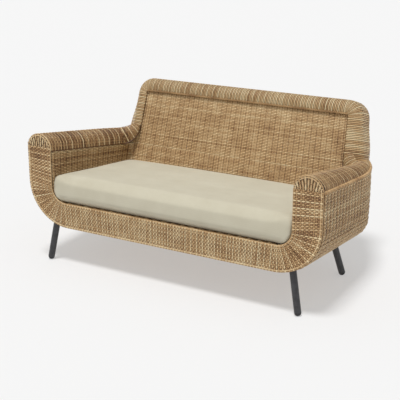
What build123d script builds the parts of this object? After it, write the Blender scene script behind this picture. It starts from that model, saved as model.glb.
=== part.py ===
from build123d import *
import math
import os

# Patio loveseat: a woven shell on a welded tube frame, four splayed tube legs and a loose seat cushion.
# Millimetres. X runs along the seat, Y from front to back, Z up. The origin is on the floor, under the
# centre of the object's box.

# Overall body
HALF_WIDTH = 700.0
FRONT_Y = -431.0
ARM_WIDTH = 121.0
INNER_HALF = HALF_WIDTH - ARM_WIDTH
RIDGE_FRONT = 581.0
ARM_FALL = 0.167
UNDERSIDE_FRONT = 169.0
UNDERSIDE_FALL = 0.098
DECK_FRONT = 280.0
DECK_FALL = 0.12
OUTER_CORNER = 200.0
INNER_CORNER = 70.0
SKIN = 6.0
BAND_DEPTH = 8.0

# Back
LEAN = 16.8
PANEL_Y = 276.0
PANEL_TOP = 664.0
PANEL_HALF_TOP = 522.0
PANEL_HALF_LOW = 533.0
PANEL_LOW = 459.0
BORDER_WIDTH = 60.0
BORDER_PROUD = 10.0
BACK_DEPTH = 150.0
PANEL_CORNER = 15.0
BORDER_FRONT_ROUND = 45.0
BORDER_REAR_ROUND = 50.0
SHOULDER_Z = 470.0
SHOULDER_ROUND = 45.0
# Plan of a shoulder's outer wall: a place that it passes, and its turn from straight back
SHOULDER_PASS = (666.0, 207.0)
SHOULDER_TURN = 22.0
REAR_BOTTOM_RADIUS = 210.0
BORDER_FOOT_BELOW = 60.0

# Plan of the sides: straight, then drawn in towards the back
TAPER_START_Y = -26.0
TAPER_RADIUS = 660.0
TAPER_SPAN = 40.0
REAR_CORNER = 90.0
REAR_KNEE_X = 585.0
REAR_SLANT = 30.0
REAR_PLAN_Z = 400.0

# Arm rolls
ROLL_UPRIGHT = 10.0
ROLL_RADIUS = ARM_WIDTH / 2
ROLL_TAPER_STEPS = 3
ROLL_LOFT_END_Y = 260.0
BAND_ARCH_SLACK = 0.5
BAND_ROUND = 0.7 * BAND_DEPTH
# Where the rear panel's weave starts, as y and z: a leaning plane from the underside to the shoulder
REAR_SPLIT_LOW = (84.0, 100.0)
REAR_SPLIT_HIGH = (234.0, SHOULDER_Z)

# Frame tubes
TUBE = 9.0
TUBE_WALL = 1.5
RAIL = 12.5
RAIL_WALL = 1.5
SLAT_WIDTH = 40.0
SLAT_THICK = 5.0
SLAT_PLACES = (-420.0, -140.0, 140.0, 420.0)
RAIL_X = 572.0
RAIL_FRONT_Z = 204.0
SEAT_RAIL = 11.0
SEAT_REAR_Y = 136.0
REAR_RAIL_Z = 163.0
REAR_RAIL_HALF = 606.0
BACK_TUBE_DEPTH = 70.0
BACK_TUBE_OUT = 36.0
HOOP_FOOT_SHORT = 5.0
STRUT_PLACES = (-480.0, 0.0, 480.0)
ARM_RAIL_BENDS = ((685.0, 59.0), (643.0, 193.0))
ARM_RAIL_RADII = [600.0, 60.0]
ARM_RAIL_END = 283.0
ARM_RAIL_MEET = 250.0

# Legs
LEG = 14.5
LEG_WALL = 2.0
CAP_CENTRE = 13.7
SPIGOT = 22.0
FOOT_X = 610.0
FRONT_FOOT_Y = -420.0
REAR_FOOT_Y = 55.0
FRONT_SPLAY = (0.19, -0.077)
REAR_SPLAY = (0.258, 0.161)
LEG_HOLE = 17.0
LEG_SADDLE = 4.0

# Cushion, measured square to the sloping deck
CUSHION_HALF = 573.0
CUSHION_FRONT_Y = -421.0
CUSHION_CORNER = 42.0
CUSHION_REAR_CLEAR = 4.0
CUSHION_LIFT_GAP = 0.3
SIDE_DRAW_IN = 5.0
COVER = 2.0
# Height above the deck, and how far the sides and the ends stand in there
CUSHION_LEVELS = ((0, 70, 14), (9, 38, 4), (24, 16, 0), (44, 4, 0), (80, 0, 0), (104, 4, 4), (114, 14, 14),
                  (118, 34, 34), (123, 200, 150))

lean = math.radians(LEAN)
sin_lean = math.sin(lean)
cos_lean = math.cos(lean)
tan_lean = math.tan(lean)
deck_angle = math.atan(DECK_FALL)
FAR = 900.0
FOOT_ALIGN = (Align.CENTER, Align.CENTER, Align.MIN)
UNDER_ALIGN = (Align.CENTER, Align.CENTER, Align.MAX)
parts = {}


def underside_z(y):
    """Height of the underside's skin, outside, at its middle."""
    return UNDERSIDE_FRONT - UNDERSIDE_FALL * (y - FRONT_Y)


def deck_z(y):
    """Height of the seat deck."""
    return DECK_FRONT - DECK_FALL * (y - FRONT_Y)


def ridge_z(y):
    """Height of an arm's top."""
    return RIDGE_FRONT - ARM_FALL * (y - FRONT_Y)


def spring_z(y):
    """Height at which an arm's flat walls pass into its roll."""
    return ridge_z(y) - ROLL_RADIUS - ROLL_UPRIGHT


def panel_y(z):
    """Front face of the leaning back panel."""
    return PANEL_Y - tan_lean * (PANEL_TOP - z)


def back_point(across, rise, depth):
    """A point in the leaning back: across the seat, up its slope, and into its thickness."""
    y = PANEL_Y + rise * sin_lean + depth * cos_lean
    return (across, y, PANEL_TOP + rise * cos_lean - depth * sin_lean)


def panel_half(z):
    """Half the width of the back panel."""
    return PANEL_HALF_TOP + (PANEL_HALF_LOW - PANEL_HALF_TOP) * (PANEL_TOP - z) / (PANEL_TOP - PANEL_LOW)


def rear_y(z):
    """Rear face of the leaning back."""
    return panel_y(z) + BACK_DEPTH / cos_lean


def outline(points, radii):
    """A closed flat face through the points, with its corners rounded."""
    return Face(FilletPolyline(*points, radius=radii, close=True).wire())


def prism(points, radii, way):
    """The outline carried along a straight way."""
    return Part() + Solid.extrude(outline(points, radii), Vector(*way))


def tube(path, radius, wall):
    """A bent or straight round tube along a path."""
    place = Plane(origin=path @ 0, z_dir=path % 0)
    ring = place * (Circle(radius) - Circle(radius - wall))
    return Part() + sweep(ring, path=path)


def bar(path, radius):
    """The full round space that a tube takes up."""
    return Part() + sweep(Plane(origin=path @ 0, z_dir=path % 0) * Circle(radius), path=path)


def mirrored(shape):
    """The same piece on the other side of the seat."""
    return mirror(shape, about=Plane.YZ)


def side_box(x0, x1):
    """A tall block between two places across the seat, to cut with."""
    return Part() + Box(x1 - x0, 2 * FAR, 2 * FAR).moved(Location(((x0 + x1) / 2, 0, 0)))


def behind(low, high):
    """All that lies behind a plane that passes two points (y, z), right across the seat."""
    (y0, z0), (y1, z1) = low, high
    slope = (y1 - y0) / (z1 - z0)
    points = [(-FAR, y0 - slope * (z0 + FAR), -FAR), (-FAR, y0 + slope * (FAR - z0), FAR),
              (-FAR, 2 * FAR, FAR), (-FAR, 2 * FAR, -FAR)]
    return prism(points, [0] * 4, (2 * FAR, 0, 0))


def leaning_behind(shift):
    """All that lies behind the back panel's front face, or behind a parallel face further back."""
    return behind((panel_y(0) + shift, 0), (panel_y(FAR) + shift, FAR))


def above_fall(front_z, fall):
    """All that lies higher than a plane that falls towards the back."""
    points = [(-FAR, -FAR, front_z + fall * (FAR + FRONT_Y)), (-FAR, FAR, front_z - fall * (FAR - FRONT_Y)),
              (-FAR, FAR, 2 * FAR), (-FAR, -FAR, 2 * FAR)]
    return prism(points, [0] * 4, (2 * FAR, 0, 0))


def tub(inset):
    """The lower body with its arms as one closed form, up to the arms' rolls, drawn in by a wall."""
    half = HALF_WIDTH - inset
    bottom = UNDERSIDE_FRONT + inset
    length = 2 * FAR
    across = [(-half, FRONT_Y, bottom), (half, FRONT_Y, bottom), (half, FRONT_Y, FAR), (-half, FRONT_Y, FAR)]
    corner = OUTER_CORNER - inset
    front = prism(across, [corner, corner, 0, 0], (0, length, -length * UNDERSIDE_FALL))
    rear_shift = inset / cos_lean
    top_rise = 0.0 if inset == 0 else ROLL_RADIUS - SKIN
    corner_z = UNDERSIDE_FRONT + inset - UNDERSIDE_FALL * (rear_y(0) - rear_shift - FRONT_Y)
    corner_z = corner_z / (1 + UNDERSIDE_FALL * tan_lean)
    shoulder = SHOULDER_Z - inset
    step_z = spring_z(panel_y(0)) + top_rise
    step_z = step_z / (1 + ARM_FALL * tan_lean)
    side = prism([(-FAR, FRONT_Y, bottom), (-FAR, rear_y(corner_z) - rear_shift, corner_z),
                  (-FAR, rear_y(shoulder) - rear_shift, shoulder), (-FAR, panel_y(shoulder), shoulder),
                  (-FAR, panel_y(step_z), step_z), (-FAR, FRONT_Y, spring_z(FRONT_Y) + top_rise)],
                 [0, REAR_BOTTOM_RADIUS - inset, 0, 0, 0, 0], (2 * FAR, 0, 0))
    beside = above_shoulders(inset)
    return (front & side & plan(inset)) - beside - mirrored(beside)


def above_shoulders(inset):
    """What is cut away over the round right shoulder, where the arm's roll dies out beside the back."""
    radius = SHOULDER_ROUND - inset
    turn = math.radians(SHOULDER_TURN)
    out = Vector(math.cos(turn), math.sin(turn), 0)
    forward = Vector(math.sin(turn), -math.cos(turn), 0)
    centre = Vector(*SHOULDER_PASS, SHOULDER_Z - SHOULDER_ROUND) - out * SHOULDER_ROUND
    bend = radius * math.sqrt(0.5)
    edges = [ThreePointArc((0, radius), (bend, bend), (radius, 0)), Line((radius, 0), (FAR, 0)),
             Line((FAR, 0), (FAR, FAR)), Line((FAR, FAR), (0, FAR)), Line((0, FAR), (0, radius))]
    frame = Plane(origin=centre - forward * FAR, x_dir=out, z_dir=forward)
    cut = Solid.extrude(Face(Wire([frame * e for e in edges])), forward * 2 * FAR)
    return (Part() + cut) & leaning_behind(0)


def plan(inset):
    """The body seen from above: sides drawn in by a large curve, and rounded rear corners that lean."""
    half = HALF_WIDTH - inset
    radius = TAPER_RADIUS - inset
    edges = [Line((-half, -FAR), (half, -FAR))]
    for side in (-1, 1):
        first, middle, last = [
            (side * (half - radius + radius * math.cos(turn)), TAPER_START_Y + radius * math.sin(turn))
            for turn in (0.0, math.radians(TAPER_SPAN / 2), math.radians(TAPER_SPAN))
        ]
        edges += [Line((side * half, -FAR), first), ThreePointArc(first, middle, last)]
    edges.append(Line((-last[0], last[1]), last))
    sides = Part() + Solid.extrude(Face(Wire(edges)), Vector(0, 0, FAR))
    rear = rear_y(REAR_PLAN_Z) - inset / cos_lean
    knee = REAR_KNEE_X - inset
    wide = knee + (rear + FAR) * math.tan(math.radians(REAR_SLANT))
    points = [(-wide, -FAR, 0), (wide, -FAR, 0), (knee, rear, 0), (-knee, rear, 0)]
    shifted = [(x, y - REAR_PLAN_Z * tan_lean, z) for x, y, z in points]
    corners = prism(shifted, [0, 0, REAR_CORNER - inset, REAR_CORNER - inset], (0, FAR * tan_lean, FAR))
    return sides & corners


def seat_space(grow):
    """The space between the arms, above the deck and in front of the back panel."""
    half = INNER_HALF + grow
    floor = DECK_FRONT - grow
    radius = INNER_CORNER + grow
    length = 2 * FAR
    across = prism([(-half, FRONT_Y, floor), (half, FRONT_Y, floor), (half, FRONT_Y, 2 * FAR),
                    (-half, FRONT_Y, 2 * FAR)], [radius, radius, 0, 0], (0, length, -length * DECK_FALL))
    shift = grow / cos_lean
    return across - leaning_behind(shift)


def woven_body():
    """The woven walls of the body, cut where one weaver's panel meets the next."""
    start = prism([(-FAR, FRONT_Y + BAND_DEPTH, -FAR), (-FAR, 2 * FAR, -FAR), (-FAR, 2 * FAR, FAR),
                   (-FAR, FRONT_Y + BAND_DEPTH, FAR)], [0] * 4, (2 * FAR, 0, 0))
    whole = tub(0)
    wall = SKIN / cos_lean
    under_border = panel_half(SHOULDER_Z) + BORDER_WIDTH - SKIN
    roof = Part() + Box(2 * under_border, 4 * FAR, 4 * SKIN).moved(Location((0, 0, SHOULDER_Z)))
    roof = (roof & leaning_behind(0)) - leaning_behind(BACK_DEPTH / cos_lean - wall)
    outer = (whole - tub(SKIN) - roof) & start
    outer = outer - seat_space(SKIN)
    rear_cut = behind(REAR_SPLIT_LOW, REAR_SPLIT_HIGH)
    split = HALF_WIDTH - OUTER_CORNER
    holes = leg_clearances()
    parts["weave_back_outer"] = outer & rear_cut
    front_part = outer - rear_cut
    parts["weave_underside"] = front_part & side_box(-split, split)
    right = (front_part & side_box(split, FAR)) - holes
    parts["weave_side_right"] = right
    parts["weave_side_left"] = mirrored(right)
    lining = ((seat_space(SKIN) - seat_space(0)) & whole & start) - leaning_behind(0)
    inner_split = INNER_HALF - INNER_CORNER
    parts["weave_seat_deck"] = lining & side_box(-inner_split, inner_split)
    inner_right = lining & side_box(inner_split, FAR)
    parts["weave_arm_inner_right"] = inner_right
    parts["weave_arm_inner_left"] = mirrored(inner_right)


def front_band():
    """The woven front: both arms' front faces and the rail between them, as one U with arched ends."""
    top = RIDGE_FRONT
    bottom = UNDERSIDE_FRONT
    arch = ROLL_RADIUS - BAND_ARCH_SLACK
    y = FRONT_Y
    points = [(-HALF_WIDTH, y, bottom), (HALF_WIDTH, y, bottom), (HALF_WIDTH, y, top), (INNER_HALF, y, top),
              (INNER_HALF, y, DECK_FRONT), (-INNER_HALF, y, DECK_FRONT), (-INNER_HALF, y, top),
              (-HALF_WIDTH, y, top)]
    radii = [OUTER_CORNER, OUTER_CORNER, arch, arch, INNER_CORNER, INNER_CORNER, arch, arch]
    band = prism(points, radii, (0, BAND_DEPTH, 0))
    rims = band.edges().group_by(Axis.Y)[0]
    parts["weave_front_band"] = fillet(rims, BAND_ROUND)


def roll_section(y, outer_x):
    """An arm roll's woven wall at one place: two short uprights and a half round."""
    centre = (outer_x + INNER_HALF) / 2
    radius = (outer_x - INNER_HALF) / 2
    foot = spring_z(y)
    crown = ridge_z(y) - radius
    edges = []
    for r in (radius, radius - SKIN):
        edges += [Line((centre - r, y, foot), (centre - r, y, crown)),
                  ThreePointArc((centre - r, y, crown), (centre, y, crown + r), (centre + r, y, crown)),
                  Line((centre + r, y, crown), (centre + r, y, foot))]
    edges += [Line((centre - radius, y, foot), (centre - radius + SKIN, y, foot)),
              Line((centre + radius, y, foot), (centre + radius - SKIN, y, foot))]
    return Face(Wire(edges))


def arm_rolls():
    """The rounded woven tops of the arms, which narrow as they run into the back."""
    start = FRONT_Y + BAND_DEPTH
    straight = Solid.extrude(roll_section(start, HALF_WIDTH),
                             Vector(0, TAPER_START_Y - start, -ARM_FALL * (TAPER_START_Y - start)))
    sections = []
    for step in range(ROLL_TAPER_STEPS + 1):
        y = TAPER_START_Y + (ROLL_LOFT_END_Y - TAPER_START_Y) * step / ROLL_TAPER_STEPS
        outer_x = HALF_WIDTH - TAPER_RADIUS + math.sqrt(TAPER_RADIUS ** 2 - (y - TAPER_START_Y) ** 2)
        sections.append(roll_section(y, outer_x))
    curved = Solid.make_loft([s.outer_wire() for s in sections])
    roll = (Part() + straight + curved) - leaning_behind(0)
    roll = roll - (leaning_behind(-BORDER_PROUD / cos_lean) & above_shoulder())
    parts["weave_arm_roll_right"] = roll
    parts["weave_arm_roll_left"] = mirrored(roll)


def panel_path(grow, depth, foot_rise):
    """The back panel's edge, up one side, across and down the other, set outwards and into the back."""
    low_rise = (PANEL_LOW - PANEL_TOP) / cos_lean
    spread = (PANEL_HALF_LOW - PANEL_HALF_TOP) / -low_rise
    half_top = PANEL_HALF_TOP + grow - spread * grow
    half_foot = PANEL_HALF_TOP + grow - spread * foot_rise
    points = [back_point(-half_foot, foot_rise, depth), back_point(-half_top, grow, depth),
              back_point(half_top, grow, depth), back_point(half_foot, foot_rise, depth)]
    return FilletPolyline(*points, radius=PANEL_CORNER + grow)


def back_border():
    """The thick rounded border round the back, woven over its edge tubes."""
    foot_rise = (SHOULDER_Z - PANEL_TOP) / cos_lean - BORDER_FOOT_BELOW
    path = panel_path(0, 0, foot_rise)
    place = Plane(origin=path @ 0, x_dir=(-1, 0, 0), z_dir=path % 0)
    into = 1 if place.y_dir.Y > 0 else -1
    loops = []
    for inset in (0.0, SKIN):
        near, far = inset, BORDER_WIDTH - inset
        front, rear = inset - BORDER_PROUD, BACK_DEPTH - inset
        corners = ((near, front), (far, front), (far, rear), (near, rear))
        points = [(x, into * y, 0) for x, y in corners]
        radii = [SKIN + 1 - inset, BORDER_FRONT_ROUND - inset, BORDER_REAR_ROUND - inset, 0]
        loops.append(Sketch() + outline(points, radii))
    open_side = Rectangle(2 * SKIN, BACK_DEPTH - 2 * SKIN).moved(Location((0, into * BACK_DEPTH / 2, 0)))
    section = loops[0] - loops[1] - open_side
    parts["weave_back_border"] = (Part() + sweep(place * section, path=path)) & above_shoulder()


def above_shoulder():
    """All that lies higher than the place where the arms run into the back."""
    return Part() + Box(4 * FAR, 4 * FAR, FAR).moved(Location((0, 0, SHOULDER_Z + FAR / 2)))


def back_panels():
    """The flat woven front panel of the back, and the upper part of the rear one."""
    meet_z = (DECK_FRONT - DECK_FALL * (panel_y(0) - FRONT_Y)) / (1 + DECK_FALL * tan_lean)
    low_rise = (meet_z - SKIN - PANEL_TOP) / cos_lean
    step_rise = (SHOULDER_Z - PANEL_TOP) / cos_lean
    shoulder_rise = step_rise - BACK_DEPTH
    half_step = panel_half(SHOULDER_Z)
    half_shoulder = panel_half(PANEL_TOP + shoulder_rise * cos_lean)
    way = (0, SKIN * cos_lean, -SKIN * sin_lean)
    front = [(-INNER_HALF, low_rise), (INNER_HALF, low_rise), (INNER_HALF, step_rise), (half_step, step_rise),
             (PANEL_HALF_TOP, 0), (-PANEL_HALF_TOP, 0), (-half_step, step_rise), (-INNER_HALF, step_rise)]
    radii = [0, 0, 0, 0, PANEL_CORNER, PANEL_CORNER, 0, 0]
    parts["weave_back_inner"] = prism([back_point(x, rise, 0) for x, rise in front], radii, way)
    rear = [(-half_shoulder, shoulder_rise), (half_shoulder, shoulder_rise), (PANEL_HALF_TOP, 0),
            (-PANEL_HALF_TOP, 0)]
    radii = [0, 0, PANEL_CORNER, PANEL_CORNER]
    sheet = prism([back_point(x, rise, BACK_DEPTH - SKIN) for x, rise in rear], radii, way) & above_shoulder()
    parts["weave_back_outer"] = parts["weave_back_outer"] + sheet


def leg_axis(front):
    """A right-hand leg's foot centre and its direction upwards."""
    splay = FRONT_SPLAY if front else REAR_SPLAY
    foot = Vector(FOOT_X, FRONT_FOOT_Y if front else REAR_FOOT_Y, 0)
    way = Vector(-splay[0], -splay[1], 1)
    return foot + way * CAP_CENTRE, way.normalized()


def leg_clearances():
    """The round ways that the right-hand legs pass through in the woven wall."""
    holes = Part()
    for front in (True, False):
        foot, way = leg_axis(front)
        holes += Plane(origin=foot, z_dir=way) * Cylinder(LEG_HOLE, FAR / 2, align=FOOT_ALIGN)
    return holes


def front_hoops():
    """The two bent tubes behind the front band, the arches that join them, and the struts between them."""
    y = FRONT_Y + BAND_DEPTH + TUBE
    run = BAND_DEPTH + 2 * TUBE
    outer_x = HALF_WIDTH - SKIN - TUBE
    inner_x = INNER_HALF + SKIN + TUBE
    low = UNDERSIDE_FRONT + SKIN + TUBE
    high = RIDGE_FRONT - ROLL_RADIUS - ARM_FALL * run
    floor = DECK_FRONT - SKIN - SLAT_THICK - TUBE - DECK_FALL * run
    outer = FilletPolyline((-outer_x, y, high), (-outer_x, y, low), (outer_x, y, low), (outer_x, y, high),
                           radius=OUTER_CORNER - SKIN - TUBE)
    inner = FilletPolyline((-inner_x, y, high), (-inner_x, y, floor), (inner_x, y, floor), (inner_x, y, high),
                           radius=INNER_CORNER + SKIN + TUBE)
    parts["frame_front_outer_hoop"] = tube(outer, TUBE, TUBE_WALL)
    parts["frame_front_inner_hoop"] = tube(inner, TUBE, TUBE_WALL)
    middle = (inner_x + outer_x) / 2
    arch = ThreePointArc((inner_x, y, high), (middle, y, high + (outer_x - inner_x) / 2), (outer_x, y, high))
    parts["frame_arm_arch_right"] = tube(arch, TUBE, TUBE_WALL)
    parts["frame_arm_arch_left"] = mirrored(parts["frame_arm_arch_right"])
    hoop_bars = bar(outer, TUBE) + bar(inner, TUBE) + bar(arch, TUBE) + mirrored(bar(arch, TUBE))
    struts = [tube(Line((x, y, low), (x, y, floor)), TUBE, TUBE_WALL) for x in STRUT_PLACES]
    parts["frame_front_struts"] = sum(struts, Part()) - hoop_bars
    return hoop_bars


def lower_frame(hoop_bars):
    """The bottom rails, the two rails across the seat, and the slats under the deck."""
    y, z = rear_rail_place()
    cross = Line((-REAR_RAIL_HALF, y, z), (REAR_RAIL_HALF, y, z))
    cross_bar = bar(cross, RAIL)
    parts["frame_rear_rail"] = tube(cross, RAIL, RAIL_WALL)
    path = Line((RAIL_X, FRONT_Y + BAND_DEPTH + TUBE, RAIL_FRONT_Z), (RAIL_X, y, z))
    rail = tube(path, RAIL, RAIL_WALL) - cross_bar - hoop_bars - bar(back_hoop_path(), RAIL)
    rail_bar = bar(path, RAIL)
    parts["frame_bottom_rail_right"] = rail
    parts["frame_bottom_rail_left"] = mirrored(rail)
    seat_z = deck_z(SEAT_REAR_Y) - SKIN - SLAT_THICK - SEAT_RAIL
    seat = Line((-RAIL_X - RAIL, SEAT_REAR_Y, seat_z), (RAIL_X + RAIL, SEAT_REAR_Y, seat_z))
    seat_bar = bar(seat, SEAT_RAIL)
    parts["frame_seat_rear_rail"] = tube(seat, SEAT_RAIL, TUBE_WALL) - rail_bar - mirrored(rail_bar)
    y0 = FRONT_Y + BAND_DEPTH
    top0, top1 = deck_z(y0) - SKIN, deck_z(SEAT_REAR_Y) - SKIN
    slats = Part()
    for x in SLAT_PLACES:
        left = x - SLAT_WIDTH / 2
        slats += prism([(left, y0, top0), (left, SEAT_REAR_Y, top1), (left, SEAT_REAR_Y, top1 - SLAT_THICK),
                        (left, y0, top0 - SLAT_THICK)], [0] * 4, (SLAT_WIDTH, 0, 0))
    parts["frame_seat_slats"] = slats - seat_bar - hoop_bars
    return cross_bar, rail_bar


def rear_rail_place():
    """Where the rear rail runs, as y and z, under the hoop of the back."""
    return back_point(0, hoop_foot_rise, BACK_TUBE_DEPTH)[1:]


def back_hoop_path():
    """Middle line of the hoop inside the back, down to the rear rail."""
    return panel_path(BACK_TUBE_OUT, BACK_TUBE_DEPTH, hoop_foot_rise + HOOP_FOOT_SHORT)


def upper_frame(cross_bar):
    """The hoop inside the back, and the four rails that run from the arms' arches to it."""
    parts["frame_back_hoop"] = tube(back_hoop_path(), RAIL, RAIL_WALL) - cross_bar
    drop = ROLL_RADIUS + TUBE
    start = FRONT_Y + BAND_DEPTH + 2 * TUBE + TUBE * ARM_FALL
    outer_x = HALF_WIDTH - SKIN - TUBE
    inner_x = INNER_HALF + SKIN + TUBE
    ends = [(inner_x, y, ridge_z(y) - drop) for y in (start, ARM_RAIL_END)]
    inner = Line(*ends)
    plan_points = [(outer_x, start), *ARM_RAIL_BENDS, (inner_x, ARM_RAIL_MEET)]
    outer = FilletPolyline(*[(x, y, ridge_z(y) - drop) for x, y in plan_points], radius=ARM_RAIL_RADII)
    parts["frame_arm_rail_inner_right"] = tube(inner, TUBE, TUBE_WALL)
    parts["frame_arm_rail_outer_right"] = tube(outer, TUBE, TUBE_WALL) & side_box(inner_x + TUBE, FAR)
    for place in ("outer", "inner"):
        parts[f"frame_arm_rail_{place}_left"] = mirrored(parts[f"frame_arm_rail_{place}_right"])


def largest(shape):
    """The largest solid of a shape that a cut has left in pieces."""
    return Part() + max(shape.solids(), key=lambda s: s.volume)


def legs(rail_bar, hoop_bars):
    """The four splayed tube legs, cut to fit the rail that each is welded under, and their foot caps."""
    bore = Cylinder(LEG - LEG_WALL, FAR / 2, align=FOOT_ALIGN)
    ground = Part() + Box(4 * FAR, 4 * FAR, FAR, align=UNDER_ALIGN)
    y, z = rear_rail_place()
    front_y = FRONT_Y + BAND_DEPTH + TUBE
    fall = (RAIL_FRONT_Z - z) / (y - front_y)
    rail_side = above_fall(RAIL_FRONT_Z - RAIL + LEG_SADDLE - fall * (FRONT_Y - front_y), fall)
    for end in ("front", "rear"):
        foot, way = leg_axis(end == "front")
        frame = Plane(origin=foot, z_dir=way)
        shaft = Part() + frame * (Cylinder(LEG, FAR / 2, align=FOOT_ALIGN) - bore)
        leg = largest(shaft - rail_side - rail_bar - hoop_bars)
        dome = Part() + frame * Sphere(LEG)
        dome = dome & (Part() + frame * Cylinder(2 * LEG, 2 * LEG, align=UNDER_ALIGN))
        cap = (dome + frame * Cylinder(LEG - LEG_WALL, SPIGOT, align=FOOT_ALIGN)) - ground
        parts[f"leg_{end}_right"] = leg
        parts[f"leg_{end}_left"] = mirrored(leg)
        parts[f"foot_cap_{end}_right"] = cap
        parts[f"foot_cap_{end}_left"] = mirrored(cap)


def cushion_section(height, x_inset, y_inset, grow):
    """One level of the cushion: a rounded oblong whose four sides draw in between its corners."""
    frame = Plane(origin=(0, CUSHION_FRONT_Y, deck_z(CUSHION_FRONT_Y) + CUSHION_LIFT_GAP), x_dir=(1, 0, 0),
                  z_dir=(0, math.sin(deck_angle), math.cos(deck_angle)))
    origin = frame.origin
    reach = PANEL_Y - origin.Y - CUSHION_REAR_CLEAR - tan_lean * (PANEL_TOP - origin.Z)
    reach += height * (tan_lean * math.cos(deck_angle) - math.sin(deck_angle))
    length = reach / (math.cos(deck_angle) + tan_lean * math.sin(deck_angle))
    half = CUSHION_HALF - x_inset - grow
    near, far = y_inset + grow, length - y_inset - grow
    r = CUSHION_CORNER - grow
    bend = r * (1 - math.sqrt(0.5))
    mid_y = (near + far) / 2
    pull = SIDE_DRAW_IN
    edges = [ThreePointArc((-half + r, near), (0, near + pull), (half - r, near)),
             ThreePointArc((half - r, near), (half - bend, near + bend), (half, near + r)),
             ThreePointArc((half, near + r), (half - pull, mid_y), (half, far - r)),
             ThreePointArc((half, far - r), (half - bend, far - bend), (half - r, far)),
             ThreePointArc((half - r, far), (0, far - pull), (-half + r, far)),
             ThreePointArc((-half + r, far), (-half + bend, far - bend), (-half, far - r)),
             ThreePointArc((-half, far - r), (-half + pull, mid_y), (-half, near + r)),
             ThreePointArc((-half, near + r), (-half + bend, near + bend), (-half + r, near))]
    level = frame.offset(height)
    return Wire([level * e for e in edges])


def cushion():
    """The loose seat cushion: a sewn cover with a crowned top round a foam core."""
    outer = Solid.make_loft([cushion_section(h, x, y, 0) for h, x, y in CUSHION_LEVELS], True)
    rise = (CUSHION_LEVELS[-1][0] - 2 * COVER) / CUSHION_LEVELS[-1][0]
    inner = [cushion_section(COVER + h * rise, x, y, COVER) for h, x, y in CUSHION_LEVELS]
    core = Solid.make_loft(inner, True)
    parts["cushion_cover"] = (Part() + outer) - (Part() + core)
    parts["cushion_core"] = Part() + core


hoop_foot_rise = (REAR_RAIL_Z - PANEL_TOP + BACK_TUBE_DEPTH * sin_lean) / cos_lean

if __name__ == "__main__":
    os.makedirs("parts", exist_ok=True)
    woven_body()
    front_band()
    arm_rolls()
    back_border()
    back_panels()
    front_bars = front_hoops()
    rear_bar, bottom_bar = lower_frame(front_bars)
    upper_frame(rear_bar)
    legs(bottom_bar, front_bars)
    cushion()
    for name, shape in parts.items():
        print(name, len(shape.solids()), round(shape.volume), shape.is_valid)
        export_step(shape, f"parts/{name}.step")
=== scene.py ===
import logging
import math
from dataclasses import dataclass, field
from enum import Enum

import bpy
import numpy as np
from mathutils import Matrix, Vector
from mathutils.bvhtree import BVHTree


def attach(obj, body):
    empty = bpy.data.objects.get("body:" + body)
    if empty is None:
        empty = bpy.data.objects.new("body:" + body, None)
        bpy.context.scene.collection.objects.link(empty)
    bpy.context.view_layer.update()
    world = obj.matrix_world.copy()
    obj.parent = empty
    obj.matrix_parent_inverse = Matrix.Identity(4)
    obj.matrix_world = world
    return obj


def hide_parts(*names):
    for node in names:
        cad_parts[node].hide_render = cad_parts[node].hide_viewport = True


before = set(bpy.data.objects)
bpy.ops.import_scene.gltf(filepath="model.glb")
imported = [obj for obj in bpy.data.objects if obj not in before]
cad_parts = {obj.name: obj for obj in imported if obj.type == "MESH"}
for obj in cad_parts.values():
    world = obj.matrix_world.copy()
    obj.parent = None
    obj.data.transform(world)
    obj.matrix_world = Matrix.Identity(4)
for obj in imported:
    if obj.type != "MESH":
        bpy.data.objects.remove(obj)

log = logging.getLogger("patio_loveseat")


class Side(Enum):
    """The two ends of the seat."""

    LEFT = -1.0
    RIGHT = 1.0


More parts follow.
